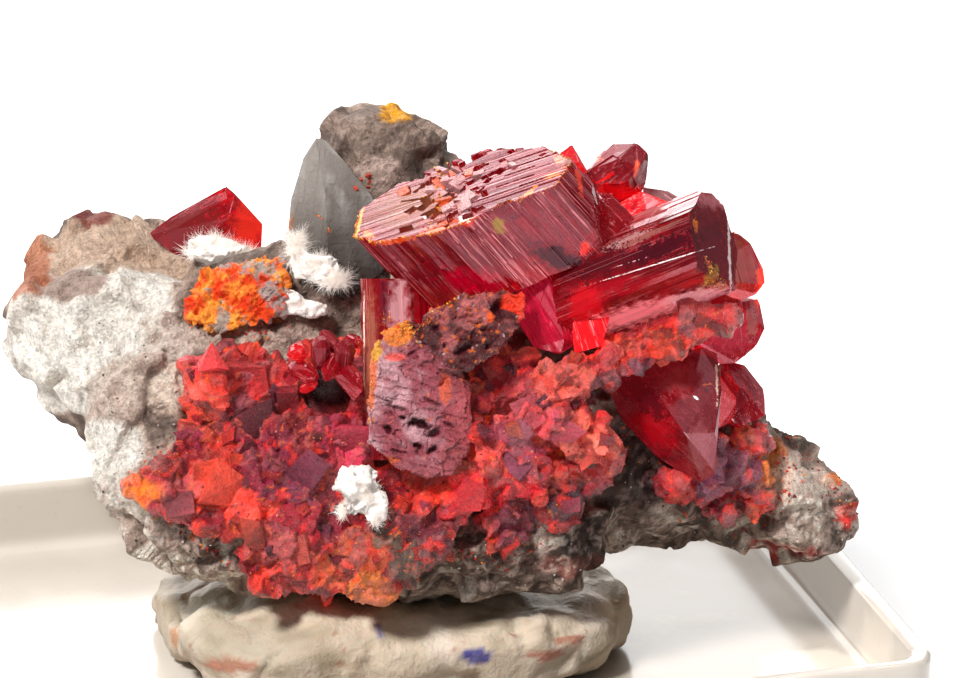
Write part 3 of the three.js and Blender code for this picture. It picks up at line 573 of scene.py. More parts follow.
def mineral_material(name, roughness, grain, relief, dark=0.55, ior=1.5, shine=0.0, light=0.0):
    """An opaque mineral whose colour zones come from the mesh, with grain of one size."""
    nodes = new_material(name)
    coarse = nodes.speckle(grain * 3, 5.0, 0.65)
    fine = nodes.speckle(grain, 6.0, 0.7)
    cells = nodes.add("TexVoronoi", {"Vector": nodes.place, "Scale": 1 / (grain * 1.6 * MM)})
    bright = nodes.ramp(nodes.times(nodes.plus(coarse, fine), 0.5), 0, 1, dark, 2 - dark)
    grey = nodes.add("CombineColor", {"Red": bright, "Green": bright, "Blue": bright})
    tint = nodes.attribute("tint", "Color")
    nodes.set(
        Base_Color=nodes.blend(1.0, tint, grey.outputs["Color"], "MULTIPLY"),
        Roughness=nodes.ramp(fine, 0, 1, roughness - shine, roughness + 0.1), IOR=ior)
    # A painted glow in the mineral's own colours, for light scattered inside it.
    if light:
        nodes.set(Emission_Color=tint, Emission_Strength=light)
    nodes.bump(nodes.plus(nodes.plus(fine, cells.outputs["Distance"]), coarse), relief)
    return nodes.owner


# Spots on the crystals: centre, reach and turn on the face, colour, how opaque, and how bright they
# glow. Many are painted light: glows for light that comes through, dark patches of painted shade, and
# pale lines and glints that are painted highlights. A spot runs through the whole depth of its crystal.
MAIN_SPOTS = [
    # painted glows for light that comes through the sides
    (3.4, 6.0, 2.4, 1.2, -15, "b84854", 0.1, 0.1), (-3.8, 7.3, 2.4, 1.2, 15, "a8664a", 0.3, 0.05),
    (-3.4, 4.2, 2.4, 0.9, -25, "8c0c1c", 0.4, 0.05), (-0.4, 3.1, 1.6, 0.6, -10, "c8002a", 0.4, 0.2),
    # orange dust along the rim of the end face, and one white spot that is a painted glint
    (-6.6, 6.3, 0.1, 1.1, -12, "e0962a", 0.95), (-6.1, 5.7, 0.3, 0.25, -30, "e07a2c", 0.9),
    (-4.7, 5.3, 1.1, 0.13, 8, "e0501a", 0.95), (-2.6, 5.85, 0.9, 0.15, 14, "e8622c", 0.9),
    (-0.9, 6.35, 0.5, 0.25, 10, "e0401c", 0.9), (-0.8, 6.5, 0.4, 0.2, 25, "fff4ee", 1.0),
    (1.0, 6.1, 0.4, 0.35, -30, "a88a34", 0.6, 0.04), (2.6, 7.9, 0.5, 0.1, 40, "d8761e", 0.9),
    (3.9, 8.9, 0.5, 0.14, 20, "dc7a34", 0.85), (4.3, 9.8, 0.3, 0.3, 0, "d88a68", 0.7),
    # orange dust on the right, a patch of painted shade and a small painted glow
    (5.4, 8.6, 0.14, 0.9, 10, "e0503a", 0.8), (4.4, 4.4, 1.6, 0.6, -20, "200610", 0.4, 0.0),
    (5.7, 4.9, 0.22, 0.35, -20, "f0301a", 0.9, 0.3),
]

PRISM_SPOTS = [
    # painted glows for light that comes through the faces
    (9.8, 7.5, 3.2, 0.7, 20, "cc6c6c", 0.3, 0.3), (12.9, 7.6, 0.9, 0.45, 0, "b86a72", 0.4, 0.3),
    (6.8, 2.9, 1.6, 0.5, 18, "a80a1c", 0.4, 0.07), (8.8, 3.0, 1.4, 0.3, 18, "980c18", 0.4, 0.05),
    (5.7, 1.9, 0.9, 1.3, -10, "c0101c", 0.4, 0.1), (8.6, 1.4, 2.7, 0.5, 16, "dc7076", 0.6, 0.7),
    (12.0, 2.4, 1.7, 0.35, 14, "c88488", 0.7, 0.6),
    # the end painted dark as shade, with dust at its foot and a pale painted highlight along its edge
    (12.6, 4.7, 0.85, 2.1, 4, "5a0c1c", 0.9), (12.5, 3.3, 0.3, 0.7, -30, "94702c", 0.35),
    (11.7, 6.1, 0.14, 0.5, 5, "e07820", 0.95), (13.65, 4.6, 0.07, 2.6, 0, "f0dcdc", 0.95),
    # the rough pale band below the upper face, two bright lines under it that are painted highlights,
    # and dark patches of painted shade on the face below
    (7.8, 5.2, 1.7, 0.32, 22, "c08e8c", 0.6), (9.0, 5.6, 2.2, 0.14, 24, "8a5048", 0.5),
    (9.0, 4.42, 2.8, 0.035, 17, "f6dede", 1.0), (9.3, 3.98, 2.8, 0.035, 17, "f6dede", 1.0),
    (9.8, 4.9, 2.7, 0.6, 19, "300610", 0.85), (6.6, 4.1, 1.8, 0.7, 22, "40080f", 0.7),
]

WEDGE_SPOTS = [
    # Painted light on the wedge: a glow low on the left, a dark face of painted shade, mauve patches of
    # painted sheen, a white painted glint and a pale painted highlight along the rim; also orange dust.
    (9.6, -4.9, 0.9, 1.3, 35, "c40a1c", 0.6, 0.12), (9.0, -3.2, 1.6, 0.7, -40, "3a0810", 0.8),
    (11.2, -2.2, 1.5, 0.7, 10, "7e3438", 0.6), (11.8, -3.2, 0.16, 0.06, -35, "ffffff", 1.0),
    (12.4, -2.8, 0.2, 0.14, 0, "2a0a08", 1.0), (12.4, -2.5, 0.3, 0.06, 10, "e8762a", 1.0),
    (13.0, -2.2, 0.07, 1.2, 0, "d8c0a8", 0.8), (12.0, -6.0, 0.6, 1.2, 0, "a04c50", 0.4),
]

MIDDLE_SPOTS = [
    # a painted glow for light that comes through
    (3.3, 1.4, 1.6, 2.6, 25, "c41c3c", 0.2, 0.34),
]

UPRIGHT_SPOTS = [
    # painted glows for light that comes through, a lavender patch of painted reflection that also glows,
    # and a white painted highlight along the left edge
    (-4.4, 1.7, 0.6, 1.5, 0, "cc9094", 0.45, 0.42), (-6.0, -1.0, 0.4, 3.6, 0, "b06450", 0.4, 0.22),
    (-6.35, 0.2, 0.035, 2.6, 0, "f4e4dc", 1.0), (-5.2, 2.2, 0.25, 1.2, 0, "5a1424", 0.6),
    (-3.0, 1.5, 0.5, 1.2, 0, "a80a1c", 0.5, 0.2),
]

BACK_SPOTS = [
    # orange dust, and painted glows for light that comes through
    (6.4, 10.1, 0.4, 0.3, 0, "d86a50", 0.9), (8.7, 9.5, 0.14, 0.4, -10, "e84a28", 0.9, 0.4),
    (6.9, 8.9, 0.5, 0.12, 30, "d01818", 0.7), (7.6, 8.2, 1.6, 0.4, 0, "d80c16", 0.6, 0.3),
]

VIVID_SPOTS = [
    (8.6, 7.5, 0.12, 0.4, -30, "8a0810", 0.7), (9.3, 7.3, 0.14, 0.5, -50, "8a0810", 0.7),
    (10.2, 7.1, 0.5, 0.1, 10, "a00c14", 0.6), (6.4, 0.4, 0.5, 0.1, -60, "b01018", 0.6),
]

LONE_SPOTS = [
    # a painted glow at the right end and painted shade over the left end
    (-13.2, 6.4, 1.0, 1.5, -10, "d82a1c", 0.5, 0.25), (-16.8, 6.2, 2.4, 1.4, 10, "5c1412", 0.8),
]

SIDE_SPOTS = [
    # painted glows for light that comes through
    (14.2, 4.0, 0.9, 1.6, 0, "a84a3c", 0.3, 0.28), (15.6, 3.2, 0.3, 1.5, -10, "f03418", 0.6, 0.6),
    (13.8, 0.4, 1.6, 1.2, 0, "c83c50", 0.4, 0.28), (15.0, 1.0, 0.3, 1.0, 0, "a06a62", 0.6),
]


def make_materials():
    bright = {"colour": BRIGHT_RED, "absorbed": CLEAR_RED, "density": 1800.0}
    return {
        "crystal": crystal_material("realgar_crystal"),
        "main crystal": crystal_material(
            "realgar_main", "b80c22", MAIN_SPOTS, ior=1.7, painted_line_share=0.9, painted_inner_glow=0.07),
        "middle crystal": crystal_material("realgar_middle", spots=MIDDLE_SPOTS, painted_line_share=1.0),
        "upright prism": crystal_material("realgar_upright", spots=UPRIGHT_SPOTS),
        "right prism": crystal_material(
            "realgar_prism", "b80c20", PRISM_SPOTS, painted_line_share=0.4, painted_inner_glow=0.03),
        "wedge": crystal_material("realgar_wedge", spots=WEDGE_SPOTS, painted_line_share=0.3),
        "back crystal": crystal_material(
            "realgar_back", "84141e", BACK_SPOTS, ior=1.6, roughness=0.25, clear=0.4, painted_line_share=0.3,
            painted_inner_glow=0.02),
        "side crystal": crystal_material("realgar_side", spots=SIDE_SPOTS, painted_line_share=0.5),
        "bright crystal": crystal_material(
            "realgar_bright", ior=1.8, clear=0.7, painted_line_share=0.4, painted_inner_glow=0.1, **bright),
        "vivid crystal": crystal_material(
            "realgar_vivid", spots=VIVID_SPOTS, ior=1.3, clear=0.3, painted_inner_glow=0.25, **bright),
        "lone crystal": crystal_material("realgar_lone", spots=LONE_SPOTS, ior=1.6, painted_line_share=0.3),
        "grey crystal": crystal_material(
            "realgar_grey", "8c7878", ior=1.8, clear=0.6, painted_line_share=0.5, absorbed=(0.8, 0.5, 0.5),
            density=900.0),
        "etched": mineral_material("realgar_etched", 0.34, 0.16, 0.05, ior=1.9, shine=0.22, light=0.1),
        "crust": mineral_material(
            "realgar_crust", 0.26, 0.12, 0.03, dark=0.66, ior=1.8, shine=0.2, light=0.2),
        "stone": mineral_material("grey_stone", 0.8, 0.14, 0.06, dark=0.42),
        "orange": mineral_material("orange_mineral", 0.7, 0.12, 0.06, light=0.2),
        "white": mineral_material("white_mineral", 0.8, 0.12, 0.05, dark=0.9, light=0.16),
        "fibre": mineral_material("white_fibre", 0.7, 0.15, 0.01, dark=0.97, light=0.14),
        "crumbs": mineral_material("crumbs", 0.45, 0.06, 0.02, dark=0.8, ior=1.7),
        "putty": putty_material(),
        "tray": tray_material(),
        "blade": blade_material(),
    }


def putty_material():
    nodes = new_material("putty")
    smear = nodes.speckle(3.0, 4.0, 0.55)
    fine = nodes.speckle(0.5, 5.0, 0.6)
    nodes.set(
        Base_Color=nodes.blend(nodes.times(smear, 0.35), nodes.attribute("tint", "Color"), rgba("a89f86")),
        Roughness=0.5, Subsurface_Weight=0.15, Subsurface_Scale=1.2 * MM)
    nodes.bump(nodes.plus(fine, smear), 0.06)
    return nodes.owner


def tray_material():
    nodes = new_material("tray_plastic")
    marks = nodes.speckle(6.0, 5.0, 0.6, 0.55, 0.75)
    dirt = nodes.speckle(0.4, 3.0, 0.6, 0.62, 0.75)
    clean = nodes.blend(nodes.times(marks, 0.25), nodes.attribute("tint", "Color"), rgba("d9cdb9"))
    nodes.set(
        Base_Color=nodes.blend(nodes.times(dirt, 0.25), clean, rgba("b09a7c")),
        Roughness=nodes.ramp(marks, 0, 1, 0.16, 0.3), IOR=1.5)
    nodes.bump(marks, 0.01)
    return nodes.owner


def blade_material():
    nodes = new_material("grey_blade")
    clouds = nodes.speckle(2.0, 5.0, 0.6)
    fine = nodes.speckle(0.3, 5.0, 0.7)
    nodes.set(
        Base_Color=nodes.blend(nodes.times(clouds, 0.08), nodes.attribute("tint", "Color"), rgba("c4beb8")),
        Roughness=0.2, IOR=1.55, Transmission_Weight=0.22)
    nodes.bump(nodes.plus(fine, clouds), 0.04)
    nodes.absorb((0.54, 0.5, 0.47), 900.0)
    return nodes.owner


# ---- Crystals: shapes in the face frame ----

def unit(direction):
    direction = np.asarray(direction, dtype=float)
    return direction / np.linalg.norm(direction)


def across(axis):
    """Two directions square to an axis and to each other."""
    helper = (0, 0, 1) if abs(axis[2]) < 0.8 else (1, 0, 0)
    first = unit(np.cross(axis, helper))
    return first, np.cross(axis, first)


FLAT_ANGLE = math.radians(1)
STEP_WIDTH = 0.012    # width of the little wall between two growth lines
BESIDE_AXIS = 0.55    # faces flatter to the axis than this have growth lines
THINNEST = 0.02
MOST_CUTS = 600
BROKEN_SHARE = 0.3


def hull(corners):
    form = bmesh.new()
    for corner in corners:
        form.verts.new(corner)
    found = bmesh.ops.convex_hull(form, input=form.verts)
    spare = unique(found["geom_interior"] + found["geom_unused"])
    bmesh.ops.delete(form, geom=[item for item in spare if item.is_valid], context="VERTS")
    bmesh.ops.dissolve_limit(form, angle_limit=FLAT_ANGLE, verts=form.verts, edges=form.edges)
    bmesh.ops.recalc_face_normals(form, faces=form.faces)
    return form


def prism(section, centre, axis_p, axis_q, travel):
    form = bmesh.new()
    ring = [np.array(centre) + p * axis_p + q * axis_q for p, q in section]
    near = [form.verts.new(point) for point in ring]
    far = [form.verts.new(point + travel) for point in ring]
    form.faces.new(near)
    form.faces.new(far[::-1])
    for n in range(len(ring)):
        m = (n + 1) % len(ring)
        form.faces.new((near[n], near[m], far[m], far[n]))
    bmesh.ops.recalc_face_normals(form, faces=form.faces)
    return form


def trim(form, point, normal):
    """Cuts away the side that the normal points to, and closes the cut."""
    cut = bmesh.ops.bisect_plane(
        form, geom=form.verts[:] + form.edges[:] + form.faces[:],
        plane_co=point, plane_no=normal, clear_outer=True)
    edges = [item for item in cut["geom_cut"] if isinstance(item, bmesh.types.BMEdge)]
    if edges:
        bmesh.ops.contextual_create(form, geom=edges)
        bmesh.ops.recalc_face_normals(form, faces=form.faces)


def worn(form, seed, deepest=0.1):
    """Takes the sharp tips off a convex form."""
    random = np.random.default_rng(seed)
    form.normal_update()
    places = np.array([vert.co for vert in form.verts])
    for normal in [np.array(vert.normal) for vert in form.verts]:
        lean = unit(normal + random.normal(0, 0.25, 3))
        farthest = places[np.argmax(places @ lean)]
        trim(form, farthest - lean * random.uniform(0.2, 1.0) * deepest, lean)


def grow_lines(form, axis, spacing, depth, breaks, seed, tilt=0.12, facing=None):
    """Cuts faces into strips along an axis, and sets each strip at its own height.

    The faces are those that lie along the axis, or those that face one direction.
    """
    random = np.random.default_rng(seed)
    axis = unit(axis)
    if facing is None:
        faces = [face for face in form.faces if abs(face.normal.dot(Vector(axis))) < BESIDE_AXIS]
    else:
        facing = unit(facing)
        faces = [face for face in form.faces if face.normal.dot(Vector(facing)) > 0.9]
    edges = unique(edge for face in faces for edge in face.edges)
    verts = unique(vert for face in faces for vert in face.verts)
    geometry = verts + edges + faces
    for face in form.faces:
        face.material_index = 0
    for face in faces:
        face.material_index = 1
    directions = [*across(axis), axis]
    places = []
    corners = np.array([vert.co for vert in verts])
    for direction, gap in zip(directions, (spacing, spacing, breaks)):
        along = corners @ direction
        cuts = along.min() + np.cumsum(gap * random.uniform(0.3, 1.9, MOST_CUTS))
        cuts = cuts[cuts < along.max()] if np.ptp(along) >= THINNEST else cuts[:0]
        places.append(cuts)
        for cut in cuts:
            for side in (-STEP_WIDTH / 2, STEP_WIDTH / 2):
                found = bmesh.ops.bisect_plane(
                    form, geom=geometry, plane_co=direction * (cut + side), plane_no=direction)
                geometry = found["geom"]
    form.normal_update()
    moved = unique(vert for face in form.faces if face.material_index == 1 for vert in face.verts)
    points = np.array([vert.co for vert in moved])
    if facing is None:
        normals = np.array([vert.normal for vert in moved])
        normals = normals - (normals @ axis)[:, None] * axis
    else:
        normals = np.tile(facing, (len(points), 1))
    normals /= np.linalg.norm(normals, axis=1, keepdims=True) + 1e-9
    level = np.zeros(len(points))
    block = np.searchsorted(places[2], points @ axis)
    for direction, cuts in zip(directions[:2], places):
        along = points @ direction
        strip = np.searchsorted(cuts, along)
        ends = np.concatenate([[along.min()], cuts, [along.max()]])
        middle = (ends[strip] + ends[strip + 1]) / 2
        whole = random.random(len(ends))
        broken = random.random((len(ends), len(places[2]) + 1))
        is_broken = random.random((len(ends), len(places[2]) + 1)) < BROKEN_SHARE
        leaning = random.uniform(-tilt, tilt, len(ends))
        share = np.where(is_broken[strip, block], broken[strip, block], whole[strip])
        level += depth * share**1.5 * 0.6 + leaning[strip] * (along - middle)
    level = np.clip(level - level.min(), 0, depth * 2)
    for vert, place in zip(moved, points - normals * level[:, None]):
        vert.co = place


def crystal_mesh(form, axis):
    """A mesh in place, with its own coordinates along and across its growth lines."""
    points = np.array([vert.co for vert in form.verts])
    mesh = bpy.data.meshes.new("crystal")
    form.to_mesh(mesh)
    form.free()
    set_points(mesh, to_tray(points))
    set_grain(mesh, grain_of(points, axis))
    return mesh


def grown(form, axis, *lines, **more):
    """The mesh of a crystal with growth lines along its axis."""
    grow_lines(form, axis, *lines, **more)
    return crystal_mesh(form, axis)


def grain_of(points, axis):
    first, second = across(unit(axis))
    return np.stack([points @ first / 0.06, points @ second / 0.06, points @ unit(axis) / 3.0], axis=1)


def set_grain(mesh, grain, kind="POINT"):
    layer = mesh.attributes.new("grain", "FLOAT_VECTOR", kind)
    layer.data.foreach_set("vector", grain.astype(np.float32).ravel())


def combined(mesh, other, operation):
    tool = bpy.data.objects.new("tool", other)
    bpy.context.collection.objects.link(tool)
    result = modified(mesh, ("BOOLEAN", {"object": tool, "operation": operation, "solver": "MANIFOLD"}))
    bpy.data.objects.remove(tool)
    return result


def blocks(places, sizes, axes, turns=None, wear=None):
    """Boxes as one mesh: middles, sizes along their axes, small turns, and how worn each corner is."""
    points = []
    faces = []
    unit_box = np.array(list(np.ndindex(2, 2, 2))) - 0.5
    sides = [(0, 1, 3, 2), (4, 6, 7, 5), (0, 4, 5, 1), (2, 3, 7, 6), (0, 2, 6, 4), (1, 5, 7, 3)]
    axes = np.broadcast_to(axes, (len(places), 3, 3))
    for number, (place, size) in enumerate(zip(places, sizes)):
        corners = unit_box * size
        if turns is not None:
            corners = corners @ np.array(Matrix.Rotation(turns[number], 3, "Z")).T
        corners = np.array(place) + corners @ axes[number]
        if wear is not None:
            corners = corners + wear[number]
        faces += [[corner + len(points) for corner in side] for side in sides]
        points += list(corners)
    return mesh_of(to_tray(points), faces)


def tilted(about_x, about_y, about_z):
    """The three axes of something tilted, as rows."""
    lean = Matrix.Rotation(about_x, 3, "X") @ Matrix.Rotation(about_y, 3, "Y")
    return np.array(lean @ Matrix.Rotation(about_z, 3, "Z")).T


# The largest crystal: a thick prism that shows its etched end.
MAIN_CENTRE = np.array([-1.0, 7.9, 6.0])
MAIN_LONG = unit((0.945, 0.326, 0))
MAIN_SHORT = unit((-0.163, 0.4725, -0.865))
MAIN_OUT = np.cross(MAIN_LONG, MAIN_SHORT)
MAIN_AXES = np.array([MAIN_LONG, MAIN_SHORT, MAIN_OUT])
MAIN_TRAVEL = np.array([0.60, -0.64, -0.48]) * 5.6
MAIN_RIGHT = ((6.45, 8.5, 4.5), (1, 0.16, 0.25))
ETCHED_OVAL = (0, 0.4, 6.0, 3.4)
MAIN_SECTION = [
    (-6.4, -0.6), (-5.4, -2.0), (-1.9, -3.3), (2.1, -2.7), (5.0, -2.6), (6.4, -0.4),
    (5.3, 2.2), (2.2, 4.1), (-0.3, 4.2), (-3.0, 3.7), (-5.7, 2.2),
]


def main_crystal():
    form = prism(MAIN_SECTION, MAIN_CENTRE, MAIN_LONG, MAIN_SHORT, MAIN_TRAVEL)
    trim(form, *MAIN_RIGHT)
    grow_lines(form, MAIN_TRAVEL, 0.24, 0.18, 1.8, 11, tilt=0.32)
    grow_lines(form, MAIN_LONG, 0.22, 0.04, 3.4, 12, tilt=0.04, facing=MAIN_OUT)
    mesh = combined(crystal_mesh(form, MAIN_TRAVEL), etched_pits(), "DIFFERENCE")
    # the end face has its lines along the long side, and the sides have theirs along the body
    corners = np.empty(len(mesh.loops), dtype=np.int32)
    mesh.loops.foreach_get("vertex_index", corners)
    points = face_points(mesh)[corners]
    on_end = np.repeat(
        [Vector(FACE_AXES @ MAIN_OUT).dot(face.normal) > 0.6 for face in mesh.polygons],
        [face.loop_total for face in mesh.polygons])
    sides = grain_of(points, MAIN_TRAVEL)
    end = grain_of(points, MAIN_LONG)
    mesh.attributes.remove(mesh.attributes["grain"])
    set_grain(mesh, np.where(on_end[:, None], end, sides), "CORNER")
    # the walls and floors of the pits, darker deeper in: painted shade, with orange dust mixed in by the
    # material
    local = (points - MAIN_CENTRE) @ MAIN_AXES.T
    inside = 1 - smooth_step(oval_distance(local, *ETCHED_OVAL), 0.8, 0.95)
    layer = mesh.attributes.new("hollow", "FLOAT", "CORNER")
    layer.data.foreach_set("value", (inside * smooth_step(-local[:, 2], 0.12, 0.5)).astype(np.float32))
    return piece(mesh, "main_crystal", "main crystal", "realgar", "realgar_crystals")


def on_end_face(along, side, out=0.0):
    return MAIN_CENTRE + MAIN_LONG * along + MAIN_SHORT * side + MAIN_OUT * out


PIT_COUNT = 84
COLUMN_COUNT = 54
# Pits given one by one: along the end face and across it, their size and turn.
MAIN_PITS = [
    (3.4, 0.4, (1.8, 0.16, 0.4), 0.0), (3.0, -0.5, (2.2, 0.16, 0.4), 0.0),
    (2.6, 1.3, (1.4, 0.16, 0.4), 0.0), (3.9, -1.2, (1.6, 0.16, 0.4), 0.0),
    (2.8, 2.0, (0.4, 0.9, 1.2), 0.3), (3.4, 2.9, (0.5, 0.4, 0.8), 0.3), (1.6, 3.6, (0.9, 0.5, 1.0), 0.3),
    (0.6, -2.2, (0.7, 0.5, 0.9), 0.3), (4.9, 1.4, (0.4, 0.3, 0.6), 0.3),
]


def etched_pits():
    """Blocky hollows etched into the middle of the end face, and a few long grooves."""
    random = np.random.default_rng(21)
    shapes = []
    for _ in range(PIT_COUNT):
        side = random.uniform(-2.6, 3.9)
        along = random.normal(-0.7 + 0.12 * side, 1.3)
        size = (random.uniform(0.3, 1.1), random.uniform(0.2, 0.8), random.uniform(0.6, 2.4))
        shapes.append((along, side, size, random.normal(0.3, 0.6)))
    whole = None
    for along, side, size, turn in shapes + MAIN_PITS:
        block = blocks([on_end_face(along, side)], [size], MAIN_AXES, [turn])
        whole = block if whole is None else combined(whole, block, "UNION")
    return whole


def etched_columns():
    """Small blocks left standing in the etched band, with tilted tops, some painted whitish as highlights.
    """
    random = np.random.default_rng(22)
    shapes = []
    for _ in range(COLUMN_COUNT):
        side = random.uniform(-2.6, 3.8)
        along = random.normal(-0.7 + 0.12 * side, 1.3)
        size = np.array([random.uniform(0.3, 1.0), random.uniform(0.3, 1.1), 1.2])
        place = on_end_face(along, side, random.uniform(-0.4, 0.14) - size[2] / 2)
        stance = tilted(random.normal(0, 0.14), random.normal(0, 0.16), random.normal(0.1, 0.25))
        shapes.append((place, size, stance @ MAIN_AXES))
    mesh = blocks(*zip(*shapes))
    shade = np.repeat(random.random(COLUMN_COUNT), 8)
    tops = mixed("a8585c", "cf9c9a", shade)
    # The whitish tops are painted highlights; the orange ones are dust.
    tops[shade > 0.82] = linear("f2e2de")
    tops[shade < 0.22] = linear("d0501e")
    tops[(shade > 0.22) & (shade < 0.34)] = linear("7c2420")
    is_top = np.tile(np.arange(8) % 2 == 1, COLUMN_COUNT)
    # Tops lighter than the dark sides: painted light on the tops and painted shade on the sides.
    tint = np.where(is_top[:, None], tops, linear("4a0a10"))
    piece(mesh, "etched_columns", "etched", "realgar", "realgar_crystals", tint=tint)


# The long prism on the right.
PRISM_END = np.array([12.4, 5.35, 7.0])
PRISM_AXIS = unit((0.85, 0.344, 0.4))
PRISM_UP = unit((-0.311, 0.939, -0.147))
PRISM_LENGTH = 8.8
PRISM_SECTION = [
    (3.3, -2.2), (1.5, 1.6), (-1.6, 2.9), (-2.6, 0.5), (-2.9, -1.5), (-0.5, -3.8), (2.2, -4.0),
]


def right_prism():
    side = unit(np.cross(PRISM_AXIS, PRISM_UP))
    form = prism(PRISM_SECTION, PRISM_END, PRISM_UP, side, PRISM_AXIS * -PRISM_LENGTH)
    trim(form, PRISM_END + PRISM_UP * 2.9, PRISM_AXIS * 0.55 + PRISM_UP)
    mesh = grown(form, PRISM_AXIS, 0.5, 0.1, 3.5, 31)
    return piece(mesh, "right_prism", "right prism", "realgar", "realgar_crystals")


# The upright prism on the left.
UPRIGHT_TOP = 3.3
UPRIGHT_BOTTOM = -6.6
UPRIGHT_AXIS = np.array([-0.05, 1.0, -0.06])
UPRIGHT_SECTION = [
    (-6.2, 4.6), (-5.9, 5.9), (-4.8, 6.8), (-3.3, 6.3), (-1.9, 4.6), (-2.4, 2.6), (-5.6, 2.4),
]


def upright_prism():
    form = prism(
        UPRIGHT_SECTION, (0, UPRIGHT_BOTTOM, 0), np.array([1.0, 0, 0]), np.array([0, 0, 1.0]),
        UPRIGHT_AXIS * (UPRIGHT_TOP - UPRIGHT_BOTTOM))
    trim(form, (-4, UPRIGHT_TOP - 0.2, 6), (0.1, 1, 0.4))
    mesh = grown(form, UPRIGHT_AXIS, 0.24, 0.12, 2.2, 41, tilt=0.25)
    return piece(mesh, "upright_prism", "upright prism", "realgar", "realgar_crystals")


# Crystals given by name, material, the direction, spacing, depth and breaks of their growth
# lines, and corners.
SMALLER_CRYSTALS = [
    ("middle_crystal", "middle crystal", (0.47, -0.88, 0.2), 0.22, 0.09, 1.8, [
        (2.2, 3.6, 4.6), (3.5, 3.9, 4.2), (5.7, 4.3, 3.4), (6.2, 2.2, 3.8), (5.4, -0.2, 5.4),
        (4.4, -0.8, 5.8), (2.9, -0.5, 5.0), (1.7, 1.6, 4.4), (3.6, 3.7, 5.0), (4.6, 0.0, 6.2),
        (2.6, 2.6, 1.0), (5.6, 2.6, 0.8), (4.0, -0.8, 2.0),
    ]),
    ("red_chunk", "vivid crystal", (0.3, -0.9, 0.2), 0.6, 0.1, 1.0, [
        (5.0, 0.8, 6.4), (5.7, 2.7, 6.0), (6.7, 2.6, 5.8), (7.1, 1.2, 6.2), (6.8, -0.3, 6.6),
        (5.1, -0.8, 6.6), (5.2, 1.6, 3.6), (6.8, 1.6, 3.6), (6.0, -0.6, 4.0),
    ]),
    ("back_crystal", "back crystal", (0.75, 0.6, -0.2), 0.45, 0.2, 0.8, [
        (5.4, 8.9, -1.0), (6.6, 10.4, -1.0), (7.3, 11.0, -1.2), (8.7, 11.0, -1.2), (9.4, 10.3, -1.0),
        (9.3, 8.8, -0.8), (8.9, 7.9, -0.6), (6.6, 8.1, -0.4), (6.1, 9.5, 0.2), (7.7, 10.1, 0.6),
        (8.8, 9.5, 0.4), (8.2, 8.6, 0.7), (6.8, 8.6, 0.6), (6.8, 10.0, -3.4), (8.8, 9.8, -3.4),
        (7.6, 5.4, -3.0),
    ]),
    ("back_point", "bright crystal", (0.4, 0.9, 0.0), 0.4, 0.06, 1.5, [
        (4.3, 10.3, -0.6), (5.1, 10.9, -0.8), (5.5, 9.9, -0.4), (4.6, 9.2, 0.0), (5.8, 8.0, -1.2),
        (4.6, 8.0, -1.8), (6.6, 8.4, -1.6),
    ]),
    ("back_red_crystal", "vivid crystal", (0.8, 0.4, 0.0), 0.7, 0.05, 2.0, [
        (7.3, 7.4, 0.4), (8.9, 8.3, -0.2), (10.4, 7.4, 0.0), (11.8, 7.1, -0.4), (9.7, 6.0, 1.0),
        (7.8, 6.0, 1.0), (9.0, 8.1, -2.2), (11.2, 6.9, -2.0), (7.6, 5.0, -2.4),
    ]),
    ("back_grey_crystal", "grey crystal", (0.85, -0.5, 0.1), 0.35, 0.06, 2.0, [
        (9.1, 8.5, -1.6), (10.3, 8.4, -1.6), (11.5, 7.7, -1.4), (11.9, 7.0, -1.2), (10.0, 6.6, -1.0),
        (9.2, 8.2, -3.6), (11.2, 7.4, -3.6), (9.0, 5.4, -3.4),
    ]),
    ("between_crystal", "crystal", (0.6, -0.64, 0.3), 0.26, 0.08, 1.6, [
        (6.5, 8.1, 2.6), (7.3, 8.1, 2.8), (8.8, 6.3, 3.8), (8.2, 5.0, 4.4), (6.4, 4.2, 4.4),
        (6.0, 5.6, 3.4), (7.0, 6.8, 4.2), (6.6, 7.4, -1.0), (8.4, 6.0, -0.6), (6.0, 3.6, 0.0),
    ]),
    ("right_back_upper", "side crystal", (0.3, -0.9, 0.1), 0.5, 0.06, 2.0, [
        (14.2, 6.0, 1.6), (15.0, 5.3, 1.8), (15.7, 3.9, 1.8), (15.8, 3.0, 2.0), (15.4, 2.5, 2.2),
        (14.3, 2.1, 2.4), (12.6, 5.4, 2.2), (11.2, 3.4, 5.4), (13.6, 5.2, -1.2), (15.2, 3.2, -1.2),
        (11.4, 2.4, -1.4),
    ]),
    ("right_back_lower", "side crystal", (0.12, -1.0, 0.1), 0.4, 0.09, 2.4, [
        (14.2, 2.3, 1.6), (15.5, 2.2, 1.2), (15.8, 0.6, 1.4), (15.4, -0.3, 1.6), (14.2, -1.3, 2.4),
        (13.0, -1.4, 2.5), (12.0, -1.1, 2.8), (10.4, 0.8, 4.2), (11.4, 1.7, 3.8), (14.2, 2.0, 2.8),
        (13.6, 2.6, -0.8), (15.2, 0.4, -1.2), (11.2, 0.2, -1.0),
    ]),
]

